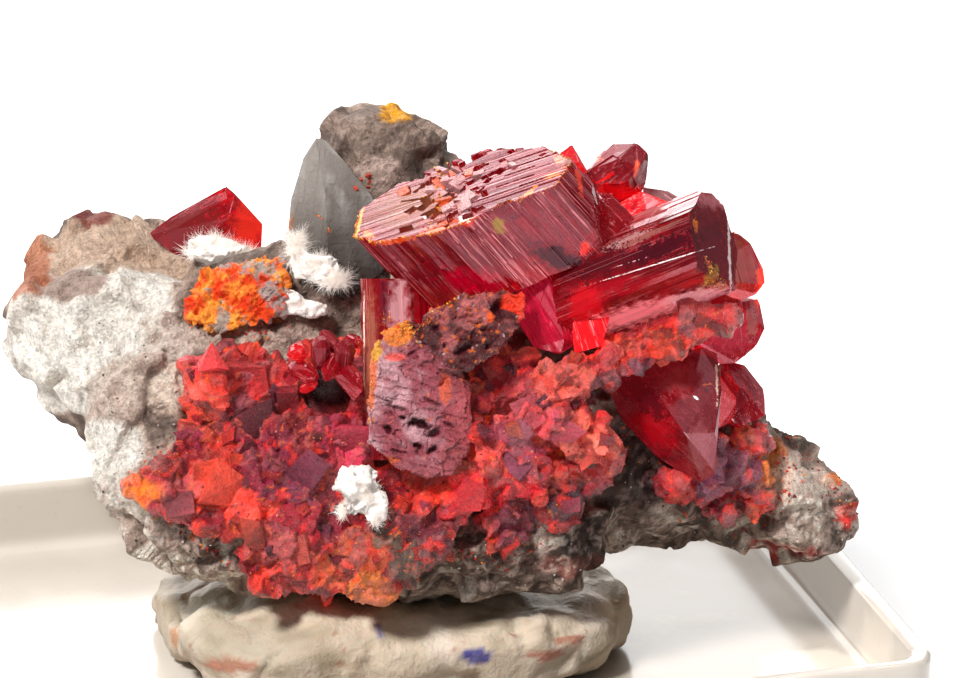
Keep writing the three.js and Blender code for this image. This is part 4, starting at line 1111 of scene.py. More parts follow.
LOWER_CRYSTALS = [
    ("wedge", "wedge", (0.72, -0.66, 0.2), 0.9, 0.05, 3.0, [
        (6.9, -2.6, 2.4), (8.7, -1.5, 4.2), (12.2, -0.4, 3.4), (13.1, -0.7, 2.8), (13.3, -2.3, 4.0),
        (13.0, -5.1, 5.0), (11.1, -5.1, 6.0), (12.9, -7.4, 4.0), (12.1, -7.9, 3.4), (10.0, -6.9, 2.4),
        (7.8, -4.6, 1.8), (8.6, -2.2, -1.2), (12.6, -1.8, -1.0), (11.6, -6.8, -0.4),
    ]),
    ("red_sliver", "bright crystal", (0.1, -1.0, 0.0), 0.7, 0.04, 2.0, [
        (13.2, -2.0, 2.6), (14.2, -3.3, 2.6), (13.9, -4.6, 2.4), (13.0, -5.0, 2.6), (13.0, -2.6, 3.2),
        (13.4, -2.6, -0.6), (13.6, -4.4, -0.6),
    ]),
    ("small_mauve_crystal", "crystal", (0.6, -0.75, 0.1), 0.45, 0.08, 1.5, [
        (13.4, -1.1, 1.8), (14.7, -1.4, 1.6), (15.8, -2.8, 1.6), (15.8, -4.2, 1.8), (14.3, -4.9, 2.2),
        (13.6, -4.2, 2.6), (14.4, -2.6, 2.6), (13.2, -1.6, -0.8), (15.2, -2.8, -0.8), (14.4, -5.0, -0.8),
        (13.0, -4.6, -0.6),
    ]),
]

LONE_CRYSTAL = [
    ("lone_crystal", "lone crystal", (0.85, 0.5, 0.0), 0.6, 0.06, 2.5, [
        (-19.0, 6.0, -8.2), (-18.0, 6.9, -8.8), (-14.6, 8.8, -9.4), (-14.0, 8.3, -9.0), (-12.4, 6.6, -8.4),
        (-12.4, 4.9, -7.8), (-14.0, 4.6, -7.4), (-17.4, 4.9, -7.4), (-14.2, 6.9, -7.2), (-17.6, 5.2, -11.6),
        (-14.4, 7.6, -12.0), (-12.6, 4.9, -11.4), (-15.2, 2.4, -9.0),
    ]),
]


def small_crystals(group, node_name, seed):
    for number, (name, material, axis, *lines, corners) in enumerate(group, seed):
        form = hull(corners)
        worn(form, number)
        piece(grown(form, axis, *lines, number), name, material, "realgar", node_name)


# ---- The etched block and the dark bar: dull, pitted surfaces ----

ETCHED_OUTLINE = [
    (-5.9, -0.6), (-5.0, 0.6), (-3.4, 0.9), (-1.6, -1.2), (-0.5, -2.6), (-0.4, -4.4),
    (-0.6, -6.1), (-1.5, -7.4), (-2.8, -7.6), (-4.6, -6.9), (-6.1, -5.6),
]
ETCHED_FRONT = 7.7
ETCHED_BACK = 3.2
ETCHED_TAPER = 0.96
ETCHED_VOXEL = 0.09
ETCHED_TURN = -16    # direction of the fine cracks, in degrees

DARK_BAR = [
    (-3.8, 0.2, 8.0), (-2.8, 1.5, 7.8), (-1.2, 2.4, 7.5), (1.1, 2.7, 7.0), (2.4, 2.6, 6.6),
    (2.5, 1.8, 6.9), (2.1, 0.6, 7.6), (0.6, -1.0, 8.2), (-1.1, -1.9, 8.4), (-2.5, -1.5, 8.2),
    (-3.4, 0.4, 4.4), (1.8, 1.8, 4.2), (-0.8, -1.4, 4.6),
]

# Etched hollows: place on the face, radii along and up, turn in degrees and depth.
HOLLOWS = [
    (-3.4, -4.6, 0.75, 0.26, -14, 0.7), (-2.5, -5.1, 0.42, 0.2, 35, 0.5), (-4.6, -3.7, 0.8, 0.1, -16, 0.3),
    (-3.4, -5.8, 0.42, 0.22, -30, 0.6), (-2.6, -6.0, 0.3, 0.16, 20, 0.5), (-5.0, -4.9, 0.3, 0.16, -50, 0.4),
    (-4.4, -6.1, 0.5, 0.08, -12, 0.3), (-5.2, -3.3, 0.5, 0.08, -20, 0.3), (-4.0, -2.7, 0.5, 0.06, -10, 0.2),
    (-4.3, -1.5, 0.4, 0.07, 10, 0.2), (-2.6, -3.4, 0.5, 0.07, -25, 0.25), (-1.6, -4.7, 0.4, 0.1, -30, 0.3),
    (-3.6, -0.7, 0.3, 0.09, 30, 0.25), (-2.0, -2.3, 0.3, 0.1, 50, 0.3),
    (-0.9, -0.5, 0.5, 0.2, 30, 0.6), (-1.9, -0.3, 0.24, 0.12, 70, 0.4), (0.95, 1.85, 0.42, 0.32, 60, 0.9),
    (-2.4, 0.6, 0.3, 0.14, 30, 0.4), (0.2, 0.6, 0.2, 0.1, 20, 0.3), (-0.6, 1.6, 0.24, 0.1, -10, 0.3),
    (0.5, -0.3, 0.3, 0.1, 40, 0.3), (-1.3, 1.2, 0.2, 0.1, 60, 0.3),
]

ORANGE_DUST = "e2691f"
YELLOW_DUST = "d9a125"
CORAL = "e8452f"


def turned(x, y, degrees):
    """Places on the face, in axes turned by some degrees."""
    cos, sin = math.cos(math.radians(degrees)), math.sin(math.radians(degrees))
    return x * cos + y * sin, y * cos - x * sin


def hollowed(points, hollows):
    """How far a surface sinks into ragged hollows, given on the face."""
    sunk = np.zeros(len(points))
    wobble = 0.6 * layered(points, 0.35, 3, 71)
    for x, y, reach_x, reach_y, turn, depth in hollows:
        along, beside = turned(points[:, 0] - x, points[:, 1] - y, turn)
        distance = 0.8 * np.hypot(along / reach_x, beside / reach_y) + wobble
        sunk = np.maximum(sunk, 0.8 * depth * (1 - smooth_step(distance, 0.3, 1.1)))
    return sunk


def etched_piece():
    """The etched block and the dark bar across its top, grown into each other."""
    middle = np.mean(ETCHED_OUTLINE, axis=0)
    back = [(*(middle + (corner - middle) * ETCHED_TAPER), ETCHED_BACK) for corner in ETCHED_OUTLINE]
    front = [(*corner, ETCHED_FRONT) for corner in ETCHED_OUTLINE]
    block = crystal_mesh(hull(front + back), (0, 1, 0))
    bar = crystal_mesh(hull(DARK_BAR), (0, 1, 0))
    mesh = modified(
        combined(block, bar, "UNION"),
        ("REMESH", {"mode": "VOXEL", "voxel_size": ETCHED_VOXEL * MM}),
        ("SMOOTH", {"iterations": 7}),
    )
    points = face_points(mesh)
    along, beside = turned(points[:, 0], points[:, 1], ETCHED_TURN)
    stretched = np.stack([along * 0.3, beside, points[:, 2]], axis=1)
    bar_share = smooth_step(points[:, 1] + 0.82 * points[:, 0], -3.4, -2.6)
    plates = Grains(points, 0.8, 51, warp=0.5).facets(points, 0.2, 0.08)
    cracks = -0.1 * (1 - smooth_step(np.abs(layered(stretched, 0.42, 2, 53)), 0.0, 0.16))
    granular = 0.34 * bar_share * layered(points, 0.4, 3, 54)
    sunk = hollowed(points, HOLLOWS)
    sunk *= smooth_step(vectors_of(mesh, "normal") @ FACE_AXES[:, 2], 0.1, 0.4)
    height = plates + cracks + granular + 0.1 * layered(points, 0.5, 4, 55) - sunk
    raised(mesh, height - 0.05)
    tint = etched_tints(points, sunk, bar_share)
    return piece(mesh, "etched_block", "etched", "realgar", "realgar_crystals", tint=tint)


def etched_tints(points, sunk, bar_share):
    patches = layered(points, 1.6, 4, 401)
    fine = layered(points, 0.5, 3, 403)
    block = mixed("90404a", "c09096", smooth_step(patches + 0.4 * fine, -0.35, 0.4))
    block = mixed(block, "983c42", smooth_step(points[:, 0] + 0.9 * patches, -2.6, -1.0))
    block = mixed(block, "964850", smooth_step(-points[:, 1] + 0.8 * patches, 6.2, 7.3))
    bar = mixed("4c1a1c", "a85858", smooth_step(patches + 0.6 * fine, -0.3, 0.5))
    colours = block * (1 - bar_share[:, None]) + bar * bar_share[:, None]
    specks = layered(points, 0.2, 2, 402)
    colours = mixed(colours, ORANGE_DUST, 0.9 * smooth_step(specks + 0.12 * bar_share, 0.52, 0.64))
    # painted glints on the dark bar
    glints = layered(points, 0.13, 2, 413)
    colours = mixed(colours, "d8c8cc", bar_share * smooth_step(glints, 0.56, 0.66))
    # darker deeper in the hollows, a painted shade
    colours = mixed(colours, "42101a", smooth_step(sunk, 0.08, 0.3))
    return painted(colours, points, [
        (-5.9, -1.9, 7.4, 0.3, 2.0, 3, ORANGE_DUST, 0.8),
        (-4.6, 0.3, 7.6, 0.9, 0.7, 3, "e07a22", 0.9),
        (-5.7, -0.5, 7.6, 0.4, 0.8, 3, YELLOW_DUST, 0.8),
        (-4.6, -1.0, 7.6, 0.6, 0.22, 3, CORAL, 0.7),
        (-5.2, -6.6, 7.4, 1.0, 0.2, 3, ORANGE_DUST, 0.6),
        (-1.9, -2.7, 7.6, 0.35, 1.0, 3, "d0583c", 0.85),
        (-1.2, -3.6, 7.6, 0.5, 0.6, 3, "a04a50", 0.8),
        (-1.3, -6.4, 7.4, 1.0, 0.9, 3, "8f3f44", 0.8),
        (2.0, 2.1, 7.0, 0.9, 0.7, 3, "e23a22", 1.0),
        (2.3, 1.2, 7.4, 0.35, 0.6, 3, CORAL, 0.9),
        (0.6, 1.3, 7.8, 0.25, 0.4, 3, "e2551f", 0.9),
    ])


# ---- Stone ----

PALE = "d9d7d2"
RUST = "9a5a30"

STONE_SPOTS = [
    (-21.0, 0.6, -6.0, 6.5, 4.6, 8, PALE, 0.95), (-23.5, -1.5, -6.0, 4.0, 3.4, 8, "e2e1dd", 0.9),
    (-20.5, 5.2, -9.0, 7.0, 1.6, 9, "b0a798", 0.9), (-23.3, 3.0, -7.0, 2.6, 1.0, 6, "77736e", 0.8),
    (-25.6, 4.2, -9.0, 1.3, 2.6, 8, RUST, 0.7), (-25.9, 6.3, -10.0, 0.9, 1.0, 5, "7a2a28", 0.8),
    (-22.0, 6.9, -10.0, 1.4, 0.7, 5, "6b2628", 0.8), (-20.9, -3.6, 2.0, 3.0, 3.6, 6, "b4b1aa", 0.9),
    (-21.0, -6.2, 2.0, 2.8, 1.9, 6, "deddd8", 0.95), (-21.0, -8.6, 2.0, 2.4, 1.5, 6, "c9c7c1", 0.9),
    (-17.6, -4.8, 4.0, 0.9, 1.4, 4, "55524d", 0.8), (-17.0, 0.0, 1.0, 2.2, 1.2, 6, "c0beb8", 0.8),
    (-13.5, -0.1, 3.0, 3.6, 0.8, 5, "a8a59e", 0.8), (-16.0, 3.0, -2.0, 1.6, 1.6, 6, "6e665c", 0.6),
    (-10.4, -0.6, 4.4, 1.3, 0.9, 5, "4a4744", 0.7), (-5.2, 9.5, -3.0, 4.0, 4.0, 8, "75706a", 0.85),
    (-3.6, 9.0, -3.0, 1.5, 1.2, 6, "45403c", 0.8), (-7.6, 11.6, -3.0, 0.9, 1.4, 6, "55514c", 0.8),
    (-17.2, -2.8, 3.0, 1.2, 1.5, 5, "d2cabe", 0.8), (-5.6, 9.4, -2.0, 1.6, 0.7, 3, "b4aeaa", 0.6),
    (-7.2, 11.8, -4.0, 1.4, 0.7, 4, "8b8781", 0.8), (-4.7, 12.6, -4.0, 1.1, 1.0, 4, "d8a828", 0.95),
    (0.5, -11.5, 3.0, 9.0, 2.4, 9, "6d655c", 0.5), (-2.6, -10.8, 5.0, 1.4, 1.6, 4, "332f2c", 0.8),
    (9.0, -6.5, 1.0, 2.6, 2.6, 6, "241f20", 0.9), (5.0, -11.0, 2.0, 2.0, 1.4, 5, "2d2928", 0.8),
    (8.0, -9.4, 1.0, 2.6, 1.4, 5, "55504b", 0.5), (9.3, -7.9, 1.5, 0.5, 0.4, 2, "cdbfc0", 0.9),
    (3.3, -11.2, 3.0, 0.4, 1.1, 3, "a9a29d", 0.8), (17.2, -5.4, -2.0, 1.6, 1.4, 4, "6f6c66", 0.7),
    (16.5, -7.4, -2.0, 1.0, 2.2, 4, "b06a1e", 0.9), (16.0, -7.9, -1.0, 0.7, 1.0, 3, "dc9a22", 0.9),
    (17.8, -5.3, -2.0, 0.5, 0.4, 3, "cf9a2c", 0.9), (19.4, -7.9, -3.0, 0.9, 0.5, 3, "cf7a26", 0.9),
    (20.5, -9.9, -3.0, 0.6, 0.8, 3, "d8403a", 0.9), (18.6, -10.0, -2.0, 1.0, 1.0, 3, "c9c6c0", 0.6),
    (16.6, -11.6, -2.0, 2.4, 0.4, 4, "a3242a", 0.9), (5.5, -12.4, 2.0, 5.0, 0.5, 5, "8a4038", 0.5),
    (15.5, -10.2, -1.0, 2.2, 1.3, 4, "a19b95", 0.6), (17.8, -8.8, -2.0, 2.4, 2.6, 5, "dcd2c8", 0.7),
    (-14.6, -11.0, 3.0, 2.8, 0.9, 6, "54504c", 0.6), (-18.7, -9.7, 3.0, 1.0, 0.7, 5, "efece4", 0.9),
    (-17.6, -12.1, 1.0, 1.9, 0.9, 8, "e6e2d6", 0.9), (-14.4, -13.2, 1.0, 2.8, 0.9, 8, "e6e2d6", 0.9),
    (-14.2, -9.8, 4.0, 0.4, 0.4, 4, "efeae4", 0.9), (-12.9, -10.9, 4.0, 0.7, 0.5, 4, "d6d0c8", 0.8),
]


def stone_piece():
    mesh = refined("matrix", voxel=0.21, relax=4)
    points = face_points(mesh)
    lumps = 0.4 * layered(points, 3.2, 3, 1)
    pale = smooth_step(-points[:, 0], 14, 19) * smooth_step(-points[:, 2], 2, 5)
    blocky = Grains(points, 2.3, 2, warp=0.7).facets(points, 0.42, 0.3)
    gritty = Grains(points, 0.42, 3, warp=0.4)
    grit = (1 - 0.7 * pale) * (gritty.facets(points, 0.35, 0.1) + 0.16 * layered(points, 0.7, 3, 5))
    pits = -0.3 * smooth_step(noise(points, 1.0, 4), 0.5, 0.8) * (1 - pale)
    raised(mesh, lumps + blocky + grit + pits, "matrix")
    softened(mesh, 2)
    return piece(mesh, "stone", "stone", "stone", "matrix", tint=stone_tints(points, gritty, pale))


def stone_tints(points, gritty, pale):
    patches = layered(points, 2.0, 5, 201)
    colours = mixed("605c57", "aaa69f", smooth_step(patches, -0.3, 0.35))
    colours = painted(colours, points, STONE_SPOTS)
    low = smooth_step(-points[:, 1], 8.0, 10.0) * smooth_step(points[:, 0], -21, -18)
    grain = gritty.number(5)
    black = (grain < 0.34) * (0.2 + 0.35 * low) * (1 - pale)
    light = (grain > 0.74) * (0.15 + 0.3 * low) * (1 - pale)
    colours = mixed(colours, "2e2926", black)
    colours = mixed(colours, "cfcac4", light)
    mottled = layered(points, 0.7, 3, 206)
    colours = mixed(colours, "2a2522", 0.5 * low * smooth_step(mottled, 0.12, 0.34))
    colours = mixed(colours, "dcd8d0", 0.8 * low * smooth_step(-mottled, 0.12, 0.36))
    rim = smooth_step(-(points[:, 1] + 0.45 * points[:, 2]), 12.6, 13.8) * smooth_step(-points[:, 0], -3, 4)
    colours = mixed(colours, "dcd8cf", 0.7 * rim)
    bright = smooth_step(colours[:, 1], 0.3, 0.6)
    return np.clip(colours * mixed((1.2, 0.92, 0.82), (1.04, 0.97, 0.91), bright), 0, 0.9)


# ---- Crusts ----

CRUST_SPOTS = [
    (-15.6, -2.2, 4.0, 1.3, 3.6, 4, "ee4a34", 0.95), (-15.4, -1.2, 4.0, 0.9, 0.9, 4, "f0323a", 0.9),
    (-15.0, -4.6, 4.0, 0.8, 1.4, 4, "f0563c", 0.9), (-13.0, -4.4, 4.6, 1.5, 1.3, 4, "6e2c33", 0.9),
    (-12.6, -1.8, 4.4, 2.0, 1.4, 4, "b42e30", 0.8), (-9.9, -4.6, 4.8, 1.6, 2.4, 4, "6a2229", 0.8),
    (-11.6, -7.0, 4.8, 1.9, 2.2, 4, "7c1f36", 0.9), (-9.2, -8.0, 5.0, 1.8, 1.6, 4, "6d3446", 0.8),
    (-7.4, -5.4, 5.4, 1.7, 1.9, 4, "b3304a", 0.9), (-8.6, -2.0, 5.0, 0.7, 1.5, 4, "b01d25", 0.9),
    (-14.4, -7.9, 5.2, 1.7, 1.6, 4, "f0503a", 0.95), (-18.4, -8.4, 4.0, 1.2, 0.9, 4, "e0701f", 0.9),
    (-16.8, -9.6, 4.6, 1.5, 1.3, 4, "a2404a", 0.85), (-17.6, -6.9, 4.0, 1.6, 1.0, 4, "9c3527", 0.7),
    (-12.6, -10.2, 4.6, 1.4, 1.0, 4, "d8402e", 0.8), (-10.4, -11.6, 4.6, 2.6, 1.6, 4, "c84a40", 0.9),
    (-11.2, -9.2, 5.0, 0.5, 0.5, 4, "f04226", 0.9), (-7.0, -12.2, 4.8, 2.2, 1.8, 4, "c85a36", 0.85),
    (-6.2, -13.6, 4.8, 1.6, 1.0, 4, "dc7a38", 0.8), (-8.4, -10.6, 5.0, 1.1, 1.3, 4, "8a3040", 0.8),
    (-4.4, -9.5, 5.6, 0.7, 1.3, 4, "df3a2c", 0.9), (-2.4, -10.2, 5.6, 1.7, 1.3, 4, "5b2a33", 0.9),
    (-0.4, -8.6, 6.6, 1.5, 1.6, 4, "e23038", 0.95), (-1.6, -7.4, 6.8, 0.9, 0.8, 4, "ee3330", 0.9),
    (2.2, -3.6, 7.0, 1.9, 1.5, 4, "c2484c", 0.9), (4.4, -2.4, 7.0, 2.0, 1.2, 4, "d85a4e", 0.85),
    (1.8, -5.6, 7.4, 1.9, 1.3, 4, "8f3f52", 0.85), (0.6, -6.2, 7.4, 0.9, 0.9, 4, "e04f45", 0.8),
    (4.0, -5.0, 7.6, 1.4, 1.0, 4, "e05464", 0.9), (6.0, -5.2, 7.0, 1.9, 1.3, 4, "ff6e5c", 0.95),
    (6.9, -4.0, 6.4, 0.9, 0.9, 4, "f4282a", 0.9), (6.4, -6.9, 6.0, 1.2, 1.0, 4, "f85a54", 0.9),
    (4.2, -7.6, 6.2, 1.0, 0.7, 4, "e6564a", 0.85), (2.4, -8.0, 6.2, 0.8, 0.9, 4, "e22838", 0.9),
    (5.0, -8.8, 5.2, 1.5, 1.2, 4, "4b3038", 0.9), (1.8, -10.0, 5.4, 1.6, 1.5, 4, "7b3a47", 0.9),
    (2.4, -11.9, 4.8, 1.1, 0.9, 4, "b5404a", 0.85), (6.6, -0.4, 6.6, 1.3, 1.5, 4, "ee2f28", 0.95),
    (7.9, -0.4, 6.4, 1.2, 0.9, 4, "ef5a40", 0.9), (9.8, -0.2, 6.8, 1.8, 0.8, 4, "d2452f", 0.85),
    (8.6, -1.8, 6.2, 1.0, 0.7, 4, "6b5060", 0.8), (11.6, 0.6, 7.0, 1.4, 0.7, 4, "6a2c2a", 0.85),
    (13.3, 1.4, 7.0, 1.0, 0.5, 4, "c23434", 0.9), (7.1, -2.4, 6.0, 0.9, 0.8, 4, "6d3038", 0.85),
    (1.0, -1.3, 4.6, 1.9, 1.5, 3, "7c1420", 0.85), (-3.1, -12.4, 4.8, 1.9, 2.0, 4, "564c42", 0.95),
    (-5.0, -10.6, 5.2, 0.8, 1.3, 4, "5c5246", 0.95), (-3.4, -10.0, 5.4, 1.4, 0.9, 4, "6c2a34", 0.9),
]

# Where a crust sinks: the middle on the face and the reach along it and up it.
BLACK_HOLLOW = (-8.4, -3.2, 1.35, 0.85)
BLACK_HOLLOW_DEPTH = 2.0
UNDER_PRISM = (8.3, 1.5, 2.4, 1.3)
UNDER_PRISM_DEPTH = 0.7


def crust_relief(points, seed, coarse=1.5, fine=0.5, height=0.36):
    chunks = Grains(points, coarse, seed, warp=0.45)
    small = Grains(points, fine, seed + 7, warp=0.25)
    relief = chunks.facets(points, 0.5, height) + small.facets(points, 0.4, height * 0.25)
    return relief + 0.08 * layered(points, 0.8, 3, seed + 9), chunks, small


def crust_tints(points, chunks, small, spots):
    drift = chunks.number(7) + 0.8 * layered(points, 2.0, 4, 431)
    colours = mixed("8c1a26", "d93a2c", smooth_step(drift, 0.2, 1.0))
    colours = painted(colours, 0.4 * points + 0.3 * chunks.centre + 0.3 * small.centre, spots)
    shade = (chunks.number(6) - 0.5) * 0.6 + (small.number(6) - 0.5) * 0.5
    colours = np.clip(colours * (1 + shade)[:, None], 0, 1)
    # some chunks get a pale mauve painted sheen
    colours = mixed(colours, "8c4c54", 0.5 * (chunks.number(10) > 0.8))
    colours = mixed(colours, "f03424", 0.5 * (small.number(8) > 0.88))
    colours = mixed(colours, "381014", 0.6 * (small.number(9) > 0.86))
    grooves = 1 - smooth_step(small.border, 0.02, 0.14)
    colours = mixed(colours, "4a1018", 0.25 * grooves)
    powder = layered(points, 0.3, 3, 433) + 0.5 * layered(points, 1.4, 2, 434)
    colours = mixed(0.9 * colours, "dc746c", 0.3 * smooth_step(powder, 0.0, 0.6))
    specks = layered(points, 0.22, 2, 432)
    return mixed(colours, ORANGE_DUST, 0.6 * smooth_step(specks, 0.5, 0.62))


CRUST_GROWTH = 0.12


def crust_piece(node_name, name, seed, spots, coarse=1.5):
    mesh = refined(node_name, voxel=0.13, relax=2)
    points = face_points(mesh)
    height, chunks, small = crust_relief(points, seed, coarse)
    from_hollow = oval_distance(points, *BLACK_HOLLOW) + 0.2 * noise(points, 0.7, 72)
    hollow = -BLACK_HOLLOW_DEPTH * (1 - smooth_step(from_hollow, 0.7, 1.1))
    below = -UNDER_PRISM_DEPTH * (1 - smooth_step(oval_distance(points, *UNDER_PRISM), 0.6, 1.2))
    raised(mesh, height + CRUST_GROWTH + hollow + below)
    softened(mesh, 1)
    # the black hollow is painted near black deeper in, a painted shade
    tint = mixed(crust_tints(points, chunks, small, spots), "120506", smooth_step(-hollow, 0.2, 0.9))
    return piece(mesh, name, "crust", "realgar_crust", node_name, tint=tint)


RIGHT_CRUST_SPOTS = [
    (12.6, -6.4, 2.6, 1.4, 1.2, 4, "7d4558", 0.9), (14.4, -7.6, 2.4, 1.5, 1.3, 4, "6a3a4c", 0.9),
    (12.6, -8.0, 2.4, 1.0, 1.0, 4, "91506a", 0.9), (11.0, -8.2, 2.6, 0.8, 0.9, 4, "c22418", 0.95),
    (14.8, -5.4, 1.6, 0.5, 0.6, 4, "f0603a", 0.9), (15.0, -9.8, 1.6, 0.6, 0.6, 4, "ea5230", 0.9),
    (16.0, -7.4, 1.4, 0.7, 1.4, 4, "d9762c", 0.9), (13.9, -9.4, 1.8, 1.1, 0.7, 4, "4a1820", 0.9),
]


def orange_tints(points, small):
    patches = layered(points, 0.9, 3, 451) + 0.6 * (small.number(6) - 0.5)
    colours = mixed("d83a16", "f29a3c", smooth_step(patches, -0.3, 0.5))
    colours = painted(colours, points, [
        (-12.0, 1.2, 0.0, 1.6, 1.2, 3, "ee4a22", 0.7),
        (-15.2, 1.4, -2.0, 1.0, 0.6, 3, "e03c22", 0.8),
        (-11.0, 3.2, -2.0, 0.8, 1.6, 3, "f09a24", 0.8),
    ])
    bare = layered(points, 1.3, 3, 452) + 0.3 * (small.number(8) - 0.5)
    return mixed(colours, "98908a", 0.9 * smooth_step(bare, 0.16, 0.28))


def orange_piece():
    mesh = refined("orange_crust", voxel=0.14, relax=2)
    points = face_points(mesh)
    height, _, small = crust_relief(points, 66, coarse=0.7, fine=0.28, height=0.34)
    raised(mesh, height + 0.1, "orange_crust")
    tint = orange_tints(points, small)
    piece(mesh, "orange_patch", "orange", "orange_mineral", "orange_crust", tint=tint)


# ---- Crumbs, needles and fibres ----

FARTHEST_SETTLED = 0.6


def surface_of(*meshes):
    """A tree for finding places on some meshes, in the face frame."""
    points = []
    faces = []
    for mesh in meshes:
        faces += [[corner + len(points) for corner in face.vertices] for face in mesh.polygons]
        points += face_points(mesh).tolist()
    return BVHTree.FromPolygons(points, faces)


def settled(places, surface):
    """The nearest places on a surface. Places that are too far from it are left out."""
    found = [surface.find_nearest(Vector(place), FARTHEST_SETTLED)[0] for place in places]
    return np.array([place for place in found if place is not None])


def dropped(places, surface):
    """Where places on the face, given by x and y, meet a surface as seen from the front."""
    found = [surface.ray_cast(Vector((x, y, 20.0)), Vector((0, 0, -1)))[0] for x, y in places]
    return np.array([place for place in found if place is not None])


def along_line(corners, count, spread, random):
    """Places scattered along a line through some corners."""
    corners = np.asarray(corners, dtype=float)
    lengths = np.linalg.norm(np.diff(corners, axis=0), axis=1)
    reach = np.concatenate([[0], np.cumsum(lengths)])
    at = random.uniform(0, reach[-1], count)
    places = np.stack([np.interp(at, reach, corners[:, axis]) for axis in range(3)], axis=1)
    return places + random.normal(0, 1, (count, 3)) * spread


def along_lines(lines, random):
    """Places along several lines, each given by its corners, their number and their spread."""
    return np.concatenate([along_line(*line, random) for line in lines])


WARM_DUST = ["e8861e", "e2a92c", "e4521c", "d8341a", "efc05a", "b8441c"]
RED_DUST = ["d8341a", "b81c1c", "e8502a", "7a1820", "e8861e"]
CRUST_DUST = ["e0442e", "b42430", "7a1c2c", "5c2434", "c8302a", "8c2c3c", "e8861e", "d88070"]
GREY_DUST = ["e4dcd2", "c8beb2", "3a3028", "241c18", "8c7e72"]

# A grain of dust: an octahedron with its corners moved.
GRAIN_CORNERS = np.array([(1, 0, 0), (-1, 0, 0), (0, 1, 0), (0, -1, 0), (0, 0, 1), (0, 0, -1)], dtype=float)
GRAIN_SIDES = np.array([
    (0, 2, 4), (2, 1, 4), (1, 3, 4), (3, 0, 4), (2, 0, 5), (1, 2, 5), (3, 1, 5), (0, 3, 5)])


def dust(name, slot, places, palette, smallest, largest, seed):
    """Many small angular grains in one piece, at places of the face frame."""
    random = np.random.default_rng(seed)
    count = len(places)
    sizes = smallest + (largest - smallest) * random.random(count) ** 2
    shades = np.array([linear(code) for code in palette])
    colours = shades[random.integers(0, len(shades), count)]
    random = np.random.default_rng(seed + 1)
    turns = np.array([np.array(random_turn(random)) for _ in range(count)])
    shape = GRAIN_CORNERS * random.uniform(0.55, 1.2, (count, 6, 1)) + random.normal(0, 0.12, (count, 6, 3))
    corners = np.einsum("nij,nkj->nki", turns, shape) * sizes[:, None, None]
    corners += np.asarray(places)[:, None, :]
    faces = (GRAIN_SIDES + 6 * np.arange(count)[:, None, None]).reshape(-1, 3)
    mesh = mesh_of(to_tray(corners.reshape(-1, 3)), faces.tolist())
    piece(mesh, name, "crumbs", slot, tint=np.repeat(colours, 6, axis=0))


# Lines of dust: their corners, the number of grains and their spread. The first ones are on the
# end face of the main crystal, given along it and across it.
END_FACE_DUST = [
    ([(-5.9, 1.8), (-6.4, -0.6), (-5.4, -2.0), (-3.6, -2.7), (-1.9, -3.2), (0.3, -3.0)], 700, 0.08),
    ([(1.4, -2.5), (3.4, -2.5), (5.0, -2.4), (6.2, -0.4), (5.6, 1.6)], 220, 0.12),
    ([(-2.2, -2.6), (-1.4, -0.6), (-1.2, 1.2), (-0.4, 3.6)], 420, 0.35),
]
CRYSTAL_DUST = [
    ([(-6.0, 0.9, 6.6), (-5.5, -0.4, 7.4), (-5.9, -2.4, 7.3), (-6.0, -4.6, 7.3)], 520, 0.12),
    ([(-5.4, 1.1, 6.9), (-4.6, 0.9, 7.2), (-3.9, 0.3, 7.9)], 900, 0.28),
    ([(12.0, 4.2, 8.0), (12.4, 3.2, 8.0), (13.4, 2.6, 7.0)], 260, 0.2),
    ([(-3.8, 0.0, 8.0), (-2.6, 1.4, 7.8), (-1.2, 2.4, 7.5)], 160, 0.15),
]
BLADE_DUST = [
    ([(-9.1, 6.9, 0), (-8.7, 6.6, 0)], 12, 0.05), ([(-8.4, 6.05, 0), (-8.35, 5.95, 0)], 12, 0.05),
    ([(-10.6, 6.7, 0), (-10.6, 5.9, 0)], 12, 0.05),
]
RED_SLIVERS = [(-6.2, 9.1), (-6.15, 8.8), (-6.25, 8.5), (-6.6, 8.9), (-6.9, 8.4)]
SLIVER_REDS = ["b83a20", "a03020"]


def crystal_dust(surface):
    """Orange and yellow crumbs on the rims and in the cavities of the crystals."""
    random = np.random.default_rng(91)
    places = along_lines(
        [([on_end_face(*place) for place in line], *rest) for line, *rest in END_FACE_DUST] + CRYSTAL_DUST,
        random)
    dust("orange_dust", "orange_mineral", settled(places, surface), WARM_DUST, 0.02, 0.08, 92)


def blade_dust(surface):
    """Yellow and orange grains on the grey blade, and red slivers where it meets the knob."""
    places = along_lines(BLADE_DUST, np.random.default_rng(103))
    dust("blade_grains", "orange_mineral", dropped(places[:, :2], surface), WARM_DUST, 0.03, 0.08, 104)
    dust("red_slivers", "realgar_crust", dropped(RED_SLIVERS, surface), SLIVER_REDS, 0.16, 0.26, 106)


